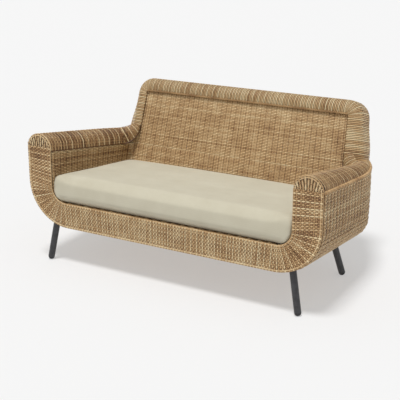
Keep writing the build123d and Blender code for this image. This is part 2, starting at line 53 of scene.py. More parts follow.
@dataclass(frozen=True)
class Shell:
    """The loveseat's own sizes in metres, as its solids have them, and the height of its braid."""

    half_width: float = 0.700
    front_y: float = -0.431
    inner_half: float = 0.579
    ridge_front: float = 0.581
    arm_fall: float = 0.167
    underside_front: float = 0.169
    underside_fall: float = 0.098
    deck_front: float = 0.280
    deck_fall: float = 0.12
    outer_corner: float = 0.200
    inner_corner: float = 0.070
    band_depth: float = 0.008
    lean: float = math.radians(16.8)
    panel_base_y: float = 0.276
    panel_top: float = 0.664
    panel_half_top: float = 0.522
    panel_half_low: float = 0.533
    panel_low: float = 0.459
    panel_corner: float = 0.015
    border_width: float = 0.060
    border_proud: float = 0.010
    border_foot_z: float = 0.466
    back_depth: float = 0.150
    front_round: float = 0.045
    rear_round: float = 0.050
    shoulder_z: float = 0.470
    taper_start: float = -0.026
    taper_radius: float = 0.660
    roll_upright: float = 0.010
    braid_lift: tuple[float, float] = (0.010, 0.048)

    def underside_z(self, y: np.ndarray) -> np.ndarray:
        """Height of the underside at a place from front to back."""
        return self.underside_front - self.underside_fall * (y - self.front_y)

    def deck_z(self, y: np.ndarray) -> np.ndarray:
        """Height of the seat deck at a place from front to back."""
        return self.deck_front - self.deck_fall * (y - self.front_y)

    def ridge_z(self, y: np.ndarray) -> np.ndarray:
        """Height of an arm's top at a place from front to back."""
        return self.ridge_front - self.arm_fall * (y - self.front_y)

    def spring_z(self, y: np.ndarray) -> np.ndarray:
        """Height at which an arm's flat walls pass into its roll."""
        return self.ridge_z(y) - (self.half_width - self.inner_half) / 2 - self.roll_upright

    def panel_y(self, z: np.ndarray) -> np.ndarray:
        """Place of the leaning back panel's front face at a height."""
        return self.panel_base_y - math.tan(self.lean) * (self.panel_top - z)

    def panel_half(self, z: np.ndarray) -> np.ndarray:
        """Half the width of the back panel at a height."""
        spread = (self.panel_half_low - self.panel_half_top) / (self.panel_top - self.panel_low)
        return self.panel_half_top + spread * (self.panel_top - z)

    def braid_z(self, y: np.ndarray) -> np.ndarray:
        """Height at which the braid under an arm's roll parts the roll's wraps from the wall.

        Args:
            y: Places from front to back.

        Returns:
            The heights there.
        """
        share = np.clip((np.asarray(y, float) - self.front_y) / (self.panel_base_y - self.front_y), 0, 1)
        first, last = self.braid_lift
        return self.spring_z(y) + first + (last - first) * share

    def liner_top(self) -> float:
        """Height at which the inner walls of the arms and the back panel below the rolls end, at the back."""
        slope = self.arm_fall * math.tan(self.lean)
        return float(self.spring_z(self.panel_y(0.0))) / (1 + slope)

    def outer_x(self, y: np.ndarray) -> np.ndarray:
        """Half the body's width, which draws in along a large curve towards the back."""
        past = np.maximum(np.asarray(y, float) - self.taper_start, 0.0)
        return self.half_width - self.taper_radius + np.sqrt(self.taper_radius**2 - past**2)

    def in_back(self, across: np.ndarray, rise: np.ndarray, depth: np.ndarray) -> np.ndarray:
        """A point of the leaning back.

        Args:
            across: Place along the seat.
            rise: Distance up the panel's slope from its top edge, negative below it.
            depth: Distance into the back's thickness, square to the panel.

        Returns:
            The points, with x, y and z last.
        """
        across, rise, depth = np.broadcast_arrays(across, rise, depth)
        y = self.panel_base_y + rise * math.sin(self.lean) + depth * math.cos(self.lean)
        z = self.panel_top + rise * math.cos(self.lean) - depth * math.sin(self.lean)
        return np.stack([across, y, z], -1)


SHELL = Shell()
UP = Vector((0.0, 0.0, 1.0))
QUARTER = math.pi / 2

Stops = tuple[tuple[float, str], ...]


def unit(vectors: np.ndarray) -> np.ndarray:
    """The vectors at a length of one."""
    return vectors / np.maximum(np.linalg.norm(vectors, axis=-1, keepdims=True), 1e-9)


def run_along(points: np.ndarray) -> np.ndarray:
    """Distance of each point along its row, from 0 at the first one."""
    return np.concatenate([[0.0], np.cumsum(np.linalg.norm(np.diff(points, axis=0), axis=1))])


def respaced(points: np.ndarray, run: np.ndarray, count: int) -> np.ndarray:
    """A row of points read again at even steps of a run.

    Args:
        points: The row, with x, y and z last.
        run: Distance of each point, along this row or along a neighbour that guides it.
        count: How many points to give back.

    Returns:
        The new row, from the same first point to the same last one.
    """
    places = np.linspace(0.0, run[-1], count)
    return np.stack([np.interp(places, run, points[:, k]) for k in range(3)], -1)


def even(points: np.ndarray, count: int) -> np.ndarray:
    """A row of points set out again at even distances."""
    return respaced(points, run_along(points), count)


def both_halves(half: np.ndarray) -> np.ndarray:
    """One half's points carried on by their mirror image.

    Args:
        half: Points, with their numbers last and x first among them, that end at the seat's middle.

    Returns:
        The points of both halves, with the middle one once.
    """
    other = half[..., -2::-1, :].copy()
    other[..., 0] *= -1
    return np.concatenate([half, other], -2)


@dataclass
class Patch:
    """A curved piece of the woven skin, held as a grid of points and read anywhere between them."""

    # Share of a grid cell to either side over which a slope is read.
    PROBE = 0.75

    grid: np.ndarray
    flip: bool = False

    def at(self, u: np.ndarray, v: np.ndarray) -> np.ndarray:
        """Points of the skin.

        Args:
            u: Places along the grid's columns, from 0 to 1.
            v: Places along its rows, from 0 to 1.

        Returns:
            The points, with x, y and z last.
        """
        rows, columns = self.grid.shape[:2]
        c = np.clip(u, 0, 1) * (columns - 1)
        r = np.clip(v, 0, 1) * (rows - 1)
        c0 = np.minimum(c.astype(int), columns - 2)
        r0 = np.minimum(r.astype(int), rows - 2)
        fc = (c - c0)[..., None]
        fr = (r - r0)[..., None]
        low = self.grid[r0, c0] * (1 - fc) + self.grid[r0, c0 + 1] * fc
        high = self.grid[r0 + 1, c0] * (1 - fc) + self.grid[r0 + 1, c0 + 1] * fc
        return low * (1 - fr) + high * fr

    def slopes(self, u: np.ndarray, v: np.ndarray) -> tuple[np.ndarray, np.ndarray, np.ndarray]:
        """How the skin runs at its points.

        Args:
            u: Places along the columns.
            v: Places along the rows.

        Returns:
            The change of the point with u, its change with v, and the outward direction.
        """
        step_u = self.PROBE / (self.grid.shape[1] - 1)
        step_v = self.PROBE / (self.grid.shape[0] - 1)
        u0, u1 = np.clip(u - step_u, 0, 1), np.clip(u + step_u, 0, 1)
        v0, v1 = np.clip(v - step_v, 0, 1), np.clip(v + step_v, 0, 1)
        du = (self.at(u1, v) - self.at(u0, v)) / (u1 - u0)[..., None]
        dv = (self.at(u, v1) - self.at(u, v0)) / (v1 - v0)[..., None]
        out = unit(np.cross(du, dv))
        return du, dv, -out if self.flip else out

    def size(self) -> tuple[float, float]:
        """The patch's mean lengths along its columns and along its rows.

        Returns:
            The two lengths.
        """
        along = np.linalg.norm(np.diff(self.grid, axis=1), axis=2).sum(1).mean()
        up = np.linalg.norm(np.diff(self.grid, axis=0), axis=2).sum(0).mean()
        return float(along), float(up)

    def mirrored(self) -> "Patch":
        """The same patch on the other side of the seat."""
        return Patch(self.grid * np.array([-1.0, 1.0, 1.0]), not self.flip)


def linear(hex_colour: str) -> tuple[float, float, float, float]:
    """A screen colour such as "A5825F" as the linear numbers that a shader takes."""
    parts = [int(hex_colour[k : k + 2], 16) / 255 for k in (0, 2, 4)]
    return (*[c / 12.92 if c <= 0.04045 else ((c + 0.055) / 1.055) ** 2.4 for c in parts], 1.0)


class Nodes:
    """A material's node tree and a short way to add to it."""

    def __init__(self, name: str) -> None:
        """Makes an empty material with its output and one shader.

        Args:
            name: The material's name.
        """
        self.material = bpy.data.materials.new(name)
        self.material.use_nodes = True
        self.tree = self.material.node_tree
        self.tree.nodes.clear()
        self.shader = self.add("ShaderNodeBsdfPrincipled")
        output = self.add("ShaderNodeOutputMaterial")
        self.tree.links.new(self.shader.outputs[0], output.inputs["Surface"])

    def add(self, kind: str, links: dict | None = None, **settings: object) -> bpy.types.Node:
        """Adds a node.

        Args:
            kind: Blender's name for the node's type.
            links: What feeds its inputs: a socket to link, or a value to set.
            **settings: Properties of the node itself.

        Returns:
            The new node.
        """
        node = self.tree.nodes.new(kind)
        for key, value in settings.items():
            setattr(node, key, value)
        for key, value in (links or {}).items():
            socket = node.inputs[key]
            if isinstance(value, bpy.types.NodeSocket):
                self.tree.links.new(value, socket)
            else:
                socket.default_value = value
        return node

    def ramp(self, factor: bpy.types.NodeSocket, stops: Stops) -> bpy.types.NodeSocket:
        """A colour ramp.

        Args:
            factor: The socket that picks the place on the ramp.
            stops: Pairs of place and screen colour.

        Returns:
            The ramp's colour socket.
        """
        node = self.add("ShaderNodeValToRGB", {"Fac": factor})
        while len(node.color_ramp.elements) < len(stops):
            node.color_ramp.elements.new(0.5)
        for element, (place, colour) in zip(node.color_ramp.elements, stops):
            element.position = place
            element.color = linear(colour)
        return node.outputs["Color"]

    def feed(self, **values: object) -> None:
        """Sets or links the shader's inputs, with underscores in place of spaces."""
        for key, value in values.items():
            socket = self.shader.inputs[key.replace("_", " ")]
            if isinstance(value, bpy.types.NodeSocket):
                self.tree.links.new(value, socket)
            else:
                socket.default_value = value


@dataclass(frozen=True)
class WovenResin:
    """Extruded polyethylene strand, coloured in the melt with streaks of straw, tan and brown."""

    stops: Stops = (
        (0.0, "5E4024"),
        (0.25, "97714B"),
        (0.5, "BC9769"),
        (0.75, "D2B183"),
        (1.0, "E6CFA4"),
    )
    streak: float = 0.050
    swing: float = 0.75
    grain: float = 0.0016

    def material(self) -> bpy.types.Material:
        """Strands that differ in tone, with long streaks in each and a faint drawn grain.

        Returns:
            The new material.
        """
        n = Nodes("woven_resin")
        place = n.add("ShaderNodeTexCoord").outputs["Object"]
        tone = n.add("ShaderNodeAttribute", attribute_name="tone").outputs["Fac"]
        streaks = n.add("ShaderNodeTexNoise", {"Vector": place, "Scale": 1 / self.streak, "Detail": 3.0})
        # Streaks a few centimetres long lift or lower a strand's own tone.
        shift = n.add("ShaderNodeMath", {0: streaks.outputs["Fac"], 1: 0.5}, operation="SUBTRACT")
        factors = {0: shift.outputs[0], 1: self.swing, 2: tone}
        swing = n.add("ShaderNodeMath", factors, operation="MULTIPLY_ADD")
        n.feed(Base_Color=n.ramp(swing.outputs[0], self.stops), Roughness=0.46)
        grain = n.add("ShaderNodeTexNoise", {"Vector": place, "Scale": 1 / self.grain, "Detail": 2.0})
        bump = n.add("ShaderNodeBump", {"Height": grain.outputs["Fac"], "Strength": 0.25, "Distance": 0.0003})
        n.feed(Normal=bump.outputs["Normal"])
        return n.material


@dataclass(frozen=True)
class ShadedGround:
    """Painted shade: a dark ground that stands for the shaded inside of the weave, seen only through its
    gaps.
    """

    dark: str = "3A2817"
    light: str = "5A4128"
    patch: float = 0.030

    def material(self) -> bpy.types.Material:
        """Deep brown with a soft mottling, which paints the shade inside a dense weave.

        Returns:
            The new material.
        """
        n = Nodes("shaded_ground")
        place = n.add("ShaderNodeTexCoord").outputs["Object"]
        cloud = n.add("ShaderNodeTexNoise", {"Vector": place, "Scale": 1 / self.patch, "Detail": 4.0})
        colour = n.ramp(cloud.outputs["Fac"], ((0.3, self.dark), (0.7, self.light)))
        n.feed(Base_Color=colour, Roughness=0.85)
        return n.material


@dataclass(frozen=True)
class PowderCoat:
    """Aluminium tube with a baked charcoal powder coat."""

    low: str = "2E2E30"
    high: str = "3E3E41"
    cloud: float = 0.0167
    peel: float = 0.0011

    def material(self) -> bpy.types.Material:
        """Satin charcoal with the fine orange peel that a sprayed powder leaves.

        Returns:
            The new material.
        """
        n = Nodes("powder_coat")
        place = n.add("ShaderNodeTexCoord").outputs["Object"]
        cloud = n.add("ShaderNodeTexNoise", {"Vector": place, "Scale": 1 / self.cloud, "Detail": 3.0})
        n.feed(Base_Color=n.ramp(cloud.outputs["Fac"], ((0.35, self.low), (0.65, self.high))))
        rough = n.add("ShaderNodeMapRange", {"Value": cloud.outputs["Fac"], "To Min": 0.38, "To Max": 0.52})
        peel = n.add("ShaderNodeTexNoise", {"Vector": place, "Scale": 1 / self.peel, "Detail": 1.0})
        bump = n.add("ShaderNodeBump", {"Height": peel.outputs["Fac"], "Strength": 0.2, "Distance": 0.0002})
        n.feed(Roughness=rough.outputs["Result"], Normal=bump.outputs["Normal"])
        return n.material


@dataclass(frozen=True)
class FootPlastic:
    """Moulded polypropylene of the foot caps, scuffed where it stands."""

    body: str = "222224"
    worn: str = "3A3A3B"
    scuff: float = 0.0071

    def material(self) -> bpy.types.Material:
        """Near-black plastic, a little paler and duller in scuffed spots.

        Returns:
            The new material.
        """
        n = Nodes("foot_plastic")
        place = n.add("ShaderNodeTexCoord").outputs["Object"]
        scuff = n.add("ShaderNodeTexNoise", {"Vector": place, "Scale": 1 / self.scuff, "Detail": 5.0})
        n.feed(Base_Color=n.ramp(scuff.outputs["Fac"], ((0.5, self.body), (0.75, self.worn))))
        rough = n.add("ShaderNodeMapRange", {"Value": scuff.outputs["Fac"], "To Min": 0.45, "To Max": 0.7})
        n.feed(Roughness=rough.outputs["Result"])
        return n.material


@dataclass(frozen=True)
class MillTube:
    """Drawn aluminium tube of the hidden frame, left as it came from the mill."""

    low: str = "8E9092"
    high: str = "B4B6B7"
    draw_mark: float = 0.0045

    def material(self) -> bpy.types.Material:
        """Dull grey metal, mottled by the fine marks of the draw.

        Returns:
            The new material.
        """
        n = Nodes("mill_tube")
        place = n.add("ShaderNodeTexCoord").outputs["Object"]
        marks = n.add("ShaderNodeTexNoise", {"Vector": place, "Scale": 1 / self.draw_mark, "Detail": 4.0})
        n.feed(Base_Color=n.ramp(marks.outputs["Fac"], ((0.3, self.low), (0.7, self.high))), Metallic=1.0)
        rough = n.add("ShaderNodeMapRange", {"Value": marks.outputs["Fac"], "To Min": 0.4, "To Max": 0.6})
        n.feed(Roughness=rough.outputs["Result"])
        return n.material


@dataclass(frozen=True)
class CushionCloth:
    """Solution-dyed outdoor cloth in a plain weave, sand coloured, sewn over foam."""

    low: str = "C0B9A3"
    high: str = "CAC4AF"
    cloud: float = 0.111
    thread: float = 0.0011
    # The length of one wave of Blender's wave texture at a scale of one.
    WAVE = 0.314

    def material(self) -> bpy.types.Material:
        """Matt cloth whose crossed threads show close to, with a faint cloudy shift of tone.

        Returns:
            The new material.
        """
        n = Nodes("cushion_cloth")
        place = n.add("ShaderNodeTexCoord").outputs["Object"]
        mottle = {"Vector": place, "Scale": 1 / self.cloud, "Detail": 6.0, "Roughness": 0.6}
        cloud = n.add("ShaderNodeTexNoise", mottle)
        warp, weft = (
            n.add(
                "ShaderNodeTexWave",
                {"Vector": place, "Scale": self.WAVE / self.thread, "Distortion": 0.6, "Detail": 1.0},
                bands_direction=axis,
            ).outputs["Fac"]
            for axis in ("X", "Y")
        )
        cross = n.add("ShaderNodeMath", {0: warp, 1: weft}, operation="MAXIMUM").outputs[0]
        mixed = n.add("ShaderNodeMath", {0: cross, 1: 0.2, 2: cloud.outputs["Fac"]}, operation="MULTIPLY_ADD")
        n.feed(Base_Color=n.ramp(mixed.outputs[0], ((0.35, self.low), (0.85, self.high))), Roughness=0.92)
        bump = n.add("ShaderNodeBump", {"Height": cross, "Strength": 0.35, "Distance": 0.0003})
        n.feed(Normal=bump.outputs["Normal"], Sheen_Weight=0.15, Sheen_Roughness=0.5)
        return n.material


@dataclass(frozen=True)
class StudioSheet:
    """Milky white acrylic sheet, lit a little from below so that shadows on it stay pale."""

    colour: str = "B3B3B3"
    glow: float = 0.40
    tooth: float = 0.0025

    def material(self) -> bpy.types.Material:
        """Even matt white with a barely visible tooth.

        Returns:
            The new material.
        """
        n = Nodes("studio_sheet")
        place = n.add("ShaderNodeTexCoord").outputs["Object"]
        tooth = n.add("ShaderNodeTexNoise", {"Vector": place, "Scale": 1 / self.tooth})
        bump = n.add("ShaderNodeBump", {"Height": tooth.outputs["Fac"], "Strength": 0.02, "Distance": 0.0002})
        n.feed(Base_Color=linear(self.colour), Roughness=0.95, Normal=bump.outputs["Normal"])
        n.feed(Emission_Color=(1.0, 1.0, 1.0, 1.0), Emission_Strength=self.glow)
        return n.material


@dataclass
class Strands:
    """A bundle of strands that is gathered here and then made into one piece."""

    # Across its band of the texture map, where a strand's four sides meet, and where its ends lie.
    BAND_EDGES = (0.02, 0.38, 0.74, 0.86, 0.98)
    CAP_CORNERS = ((0.0, 0.1), (0.002, 0.1), (0.002, 0.3), (0.0, 0.3))

    places: list[np.ndarray] = field(default_factory=list)
    tones: list[np.ndarray] = field(default_factory=list)
    faces: list[np.ndarray] = field(default_factory=list)
    maps: list[np.ndarray] = field(default_factory=list)
    bands: list[np.ndarray] = field(default_factory=list)
    corners: int = 0
    strands: int = 0

    def add(
        self,
        centre: np.ndarray,
        along: np.ndarray,
        out: np.ndarray,
        half_width: np.ndarray,
        half_thick: float,
        tone: np.ndarray,
    ) -> None:
        """Adds strands with a flat four-sided section.

        Args:
            centre: Middle lines, as strands by samples by x, y and z.
            along: Directions along the strands.
            out: Directions out of the skin.
            half_width: Half the strands' width at each sample.
            half_thick: Half their thickness.
            tone: Tone of each sample, from dark at 0 to light at 1.
        """
        count, samples = centre.shape[:2]
        wide = unit(np.cross(out, along)) * np.broadcast_to(half_width, (count, samples))[..., None]
        thick = out * half_thick
        rings = np.stack([centre - wide, centre + thick, centre + wide, centre - thick], 2)
        first = self.corners + np.arange(count)[:, None, None] * samples * 4
        k = np.arange(samples - 1)[None, :, None] * 4
        j = np.arange(4)[None, None, :]
        after = (j + 1) % 4
        a, b, c, d = first + k + j, first + k + 4 + j, first + k + 4 + after, first + k + after
        sides = np.stack([a, b, c, d], -1).reshape(-1, 4)
        start = first[:, 0, 0]
        end = start + (samples - 1) * 4
        near = np.stack([start, start + 1, start + 2, start + 3], -1)
        far = np.stack([end + 3, end + 2, end + 1, end], -1)
        edge = np.array(self.BAND_EDGES)
        u0 = np.broadcast_to(np.arange(samples - 1)[None, :, None] / (samples - 1), (count, samples - 1, 4))
        u1 = u0 + 1 / (samples - 1)
        v0, v1 = np.broadcast_to(edge[:4], u0.shape), np.broadcast_to(edge[1:], u0.shape)
        side_map = np.stack([np.stack(corner, -1) for corner in ((u0, v0), (u1, v0), (u1, v1), (u0, v1))], -2)
        cap_map = np.broadcast_to(np.array(self.CAP_CORNERS), (count * 2, 4, 2))
        number = self.strands + np.arange(count)
        self.places.append(rings.reshape(-1, 3))
        self.tones.append(np.repeat(np.broadcast_to(tone, (count, samples)).reshape(-1), 4))
        self.faces += [sides, np.concatenate([near, far])]
        self.maps += [side_map.reshape(-1, 4, 2), cap_map]
        self.bands += [np.repeat(number, (samples - 1) * 4), np.tile(number, 2)]
        self.corners += count * samples * 4
        self.strands += count

    def build(self, name: str, material: bpy.types.Material) -> bpy.types.Object:
        """Makes the gathered strands into one piece.

        Args:
            name: The piece's name.
            material: Its finish.

        Returns:
            The new object, riding on the woven shell.
        """
        places, faces = np.concatenate(self.places), np.concatenate(self.faces)
        maps, bands = np.concatenate(self.maps), np.concatenate(self.bands)
        mesh = bpy.data.meshes.new(name)
        mesh.vertices.add(len(places))
        mesh.vertices.foreach_set("co", places.astype(np.float32).ravel())
        mesh.loops.add(faces.size)
        mesh.loops.foreach_set("vertex_index", faces.astype(np.int32).ravel())
        mesh.polygons.add(len(faces))
        mesh.polygons.foreach_set("loop_start", np.arange(0, faces.size, 4, dtype=np.int32))
        mesh.polygons.foreach_set("use_smooth", np.ones(len(faces), bool))
        mesh.update(calc_edges=True)
        tones = mesh.attributes.new("tone", "FLOAT", "POINT")
        tones.data.foreach_set("value", np.concatenate(self.tones).astype(np.float32))
        # Each strand has its own band of the map, one above the other.
        lowest = np.stack([bands * 0, bands / self.strands], -1)[:, None, :]
        spread = maps * np.array([1.0, 1 / self.strands]) + lowest
        mesh.uv_layers.new(name="OFBake").uv.foreach_set("vector", spread.astype(np.float32).ravel())
        mesh.materials.append(material)
        piece = bpy.data.objects.new(name, mesh)
        bpy.context.scene.collection.objects.link(piece)
        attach(piece, "shell")
        log.info("%s: %d strands, %d faces", name, self.strands, len(faces))
        return piece


class Over(Enum):
    """How a weaver's passes over the stakes stand to those of its neighbours.

    The number of the first two says how many weavers in a row pass alike.
    """

    ALTERNATE = 1
    PAIRS = 2
    RIBS = 3


@dataclass(frozen=True)
class Weave:
    """How one panel is woven: weavers that pass over and under a row of stakes."""

    # Sizes below are in metres, and tones go from 0 for dark to 1 for light. The fill is the share of its row
    # that a strand covers. The skew is a share of the patch's height, and the slant a share of a row.
    # A weaver bends three times for each stake: between it and the last one, before it and after it.
    RIB_BENDS = (0.0, 0.3, 0.7)
    FLAT_BENDS = (0.0, 0.24, 0.76)
    # Painted shade in the dips between the stakes: every other dip gets this share of it, the ones beside it
    # all of it.
    SHALLOW_DIP_SHADE = 0.55
    # Ranges, in radians per row and per metre, from which slow changes of tone are drawn.
    ROW_SWING = (0.15, 0.3)
    LENGTH_SWING = (8, 22)
    FULL_TURN = 6.28
    # Shares of the spread in tone that these two changes take, and of the rise that an accent adds.
    ROW_SHARE = 0.6
    LENGTH_SHARE = 0.4
    ACCENT_RISE = 0.5

    row_pitch: float = 0.005
    stake_pitch: float = 0.010
    over: Over = Over.ALTERNATE
    fill: float = 0.94
    rise: float = 0.0012
    lift: float = 0.0009
    half_thick: float = 0.0009
    stake_width: float = 0.0042
    stake_tone: float = 0.44
    sunk: float = 0.0
    accent: int = 2
    accents: tuple[float, float] = (1.4, 0.4)
    accent_tone: float = 0.24
    base_tone: float = 0.50
    # Painted light and shade: how much lighter a weaver is where it passes over a stake, and darker where it
    # passes under.
    shade: float = 0.07
    # Painted shade: how much darker a weaver is where it dips between two stakes.
    dip_shade: float = 0.0
    spread: float = 0.10
    skew: float = 0.0
    slant: float = 0.0

    def passes(self, stakes: int, rows: int) -> tuple[np.ndarray, np.ndarray, np.ndarray, np.ndarray]:
        """Where the weavers bend.

        Args:
            stakes: How many stakes the patch has.
            rows: How many weavers.

        Returns:
            The bends' places along a weaver, their heights from -1 to 1 for each weaver, how far each lies
            aside, from -1 to 1, and how much painted shade darkens it where it dips between two stakes, up to
            1.
        """
        row = np.arange(rows)[:, None]
        cell = np.arange(stakes)[:, None]
        bends = self.RIB_BENDS if self.over is Over.RIBS else self.FLAT_BENDS
        places = ((cell + np.array(bends)) / stakes).ravel()[1:]
        aside = np.tile([0.0, -1.0, 1.0], stakes)[1:]
        if self.over is Over.RIBS:
            shaded_dips = np.zeros(len(places))
            signs = np.broadcast_to(np.tile([-1.0, 1.0, 1.0], stakes)[1:], (rows, len(places)))
        else:
            # Painted shade in the dips, a little paler in every other one.
            deep = np.where(cell % 2, 1.0, self.SHALLOW_DIP_SHADE)
            shaded_dips = (deep * np.array([1.0, 0.0, 0.0])).ravel()[1:]
            number = np.repeat(cell.ravel(), 3)[None, 1:]
            signs = (1.0 - 2.0 * ((number + row // self.over.value) % 2)) * (shaded_dips == 0)
        ends = np.zeros((rows, 1))
        return (
            np.concatenate([[0.0], places, [1.0]]),
            np.concatenate([ends, signs, ends], 1),
            np.concatenate([[0.0], aside, [0.0]]),
            np.concatenate([[0.0], shaded_dips, [0.0]]),
        )

    def lay(self, strands: Strands, patch: Patch, seed: int, painted_light_tone: tuple[float, ...] = (0.0, 0.0)) -> None:
        """Weaves a patch of the skin.

        Args:
            strands: The bundle that takes the new strands.
            patch: The piece of skin to cover.
            seed: Picks the tones, so that each panel differs and every run is the same.
            painted_light_tone: Tone added to the weavers, from the first to the last, as painted light where
                some rows catch more light than others.
        """
        rng = np.random.default_rng(seed)
        length, height = patch.size()
        stakes = max(3, round(length / self.stake_pitch))
        rows = max(2, round(height / self.row_pitch))
        u, sign, aside, shaded_dips = self.passes(stakes, rows)
        row = np.arange(rows)
        places_u, places_v = np.meshgrid(u, (row + 0.5) / rows)
        places_v = np.clip(places_v + self.skew * (places_u - 0.5) + aside * self.slant / rows, 0, 1)
        du, dv, out = patch.slopes(places_u, places_v)
        # Every accent row lies a little higher and lighter, and every other one of them more so.
        share = np.where(row % (2 * self.accent) == 0, *self.accents)
        raised = (row % self.accent == 0) * share
        height_out = self.lift + sign * self.rise + raised[:, None] * self.rise * self.ACCENT_RISE
        slow = np.sin(row * rng.uniform(*self.ROW_SWING) + rng.uniform(0, self.FULL_TURN))
        drawn = rng.standard_normal(rows) + self.ROW_SHARE * slow
        tone = self.base_tone + self.spread * drawn + self.accent_tone * raised
        turns = places_u * length * rng.uniform(*self.LENGTH_SWING, (rows, 1))
        wave = np.sin(turns + rng.uniform(0, self.FULL_TURN, (rows, 1)))
        half_width = np.linalg.norm(dv, axis=-1) / rows * self.fill / 2
        centre = patch.at(places_u, places_v) + out * height_out[..., None]
        tone += np.interp((row + 0.5) / rows, np.linspace(0, 1, len(painted_light_tone)), painted_light_tone)
        # Painted light and shade: lighter over the stakes, darker under them and in the dips between them.
        painted_relief_shade = self.shade * sign - self.dip_shade * shaded_dips
        shown = tone[:, None] + wave * self.spread * self.LENGTH_SHARE + painted_relief_shade
        strands.add(centre, du, out, half_width, self.half_thick, shown)
        up = np.linspace(0, 1, max(3, rows // 2))
        places_v, places_u = np.meshgrid(up, (np.arange(stakes) + 0.5) / stakes)
        du, dv, out = patch.slopes(places_u, places_v)
        centre = patch.at(places_u, places_v) + out * (self.lift - self.sunk)
        tone = self.stake_tone + self.spread * rng.standard_normal((stakes, 1))
        strands.add(centre, dv, out, self.stake_width / 2, self.half_thick, tone)


@dataclass(frozen=True)
class Braid:
    """A cord of strands twisted round each other, which covers a woven edge."""

    radius: float = 0.0032
    strand: float = 0.0030
    turn: float = 0.026
    count: int = 2
    tone: float = 0.58
    spread: float = 0.12
    swing: float = 0.08
    swing_turns: float = 7.0
    step: float = 0.0035

    def twist(self, strands: Strands, path: np.ndarray, side: np.ndarray, seed: int) -> None:
        """Lays the braid along a line.

        Args:
            strands: The bundle that takes the new strands.
            path: The line's points.
            side: A direction roughly square to the line.
            seed: Picks the strands' tones.
        """
        rng = np.random.default_rng(seed)
        length = float(np.linalg.norm(np.diff(path, axis=0), axis=1).sum())
        samples = max(8, round(length / self.step))
        line = even(path, samples)
        along = unit(np.gradient(line, axis=0))
        first = unit(np.cross(along, np.broadcast_to(side, along.shape)))
        second = np.cross(along, first)
        angle = np.linspace(0, 2 * math.pi * length / self.turn, samples)[None, :]
        angle = angle + (np.arange(self.count) * 2 * math.pi / self.count)[:, None]
        out = np.cos(angle)[..., None] * first + np.sin(angle)[..., None] * second
        centre = line + out * self.radius
        tone = self.tone + self.spread * rng.standard_normal((self.count, 1))
        tone = tone + self.swing * np.sin(angle / self.swing_turns)
        run = unit(np.gradient(centre, axis=1))
        strands.add(centre, run, unit(np.cross(np.cross(run, out), run)), self.strand, self.strand, tone)


@dataclass
class BackPanel:
    """The leaning front panel of the back, above the height where the arms' rolls meet it."""

    # Painted shade: dark lines where the weavers dip between the stakes.
    weave: Weave = Weave(row_pitch=0.0070, stake_pitch=0.0129, accent_tone=0.0, base_tone=0.76, dip_shade=0.62,
                         shade=0.0, spread=0.10, rise=0.0003)
    samples: int = 40
    top_gap: float = 0.002
    corner_rows: int = 8

    def part(self, z: np.ndarray, first: np.ndarray, last: np.ndarray) -> Patch:
        """A part of the panel's skin.

        Args:
            z: Heights of its rows.
            first: Where each row starts across the seat.
            last: Where each row ends.

        Returns:
            The patch.
        """
        share = np.linspace(0, 1, self.samples)[None, :]
        x = first[:, None] * (1 - share) + last[:, None] * share
        rise = (z - SHELL.panel_top) / math.cos(SHELL.lean)
        return Patch(SHELL.in_back(x, rise[:, None], np.zeros((1, 1))))

    def build(self, material: bpy.types.Material) -> None:
        """Weaves the panel from side to side, and its two lower corners beside the flares.

        Args:
            material: The strands' finish.
        """
        strands = Strands()
        z = np.linspace(SHELL.liner_top(), SHELL.panel_top - self.top_gap, self.samples)
        half = SHELL.panel_half(z)
        self.weave.lay(strands, self.part(z, -half, half), seed=11)
        low = np.linspace(SHELL.liner_top(), SHELL.border_foot_z, self.corner_rows)
        corner = self.part(low, SHELL.panel_half(low), np.full(self.corner_rows, SHELL.inner_half))
        self.weave.lay(strands, corner, seed=12)
        self.weave.lay(strands, corner.mirrored(), seed=13)
        strands.build("weave_back_panel_strands", material)


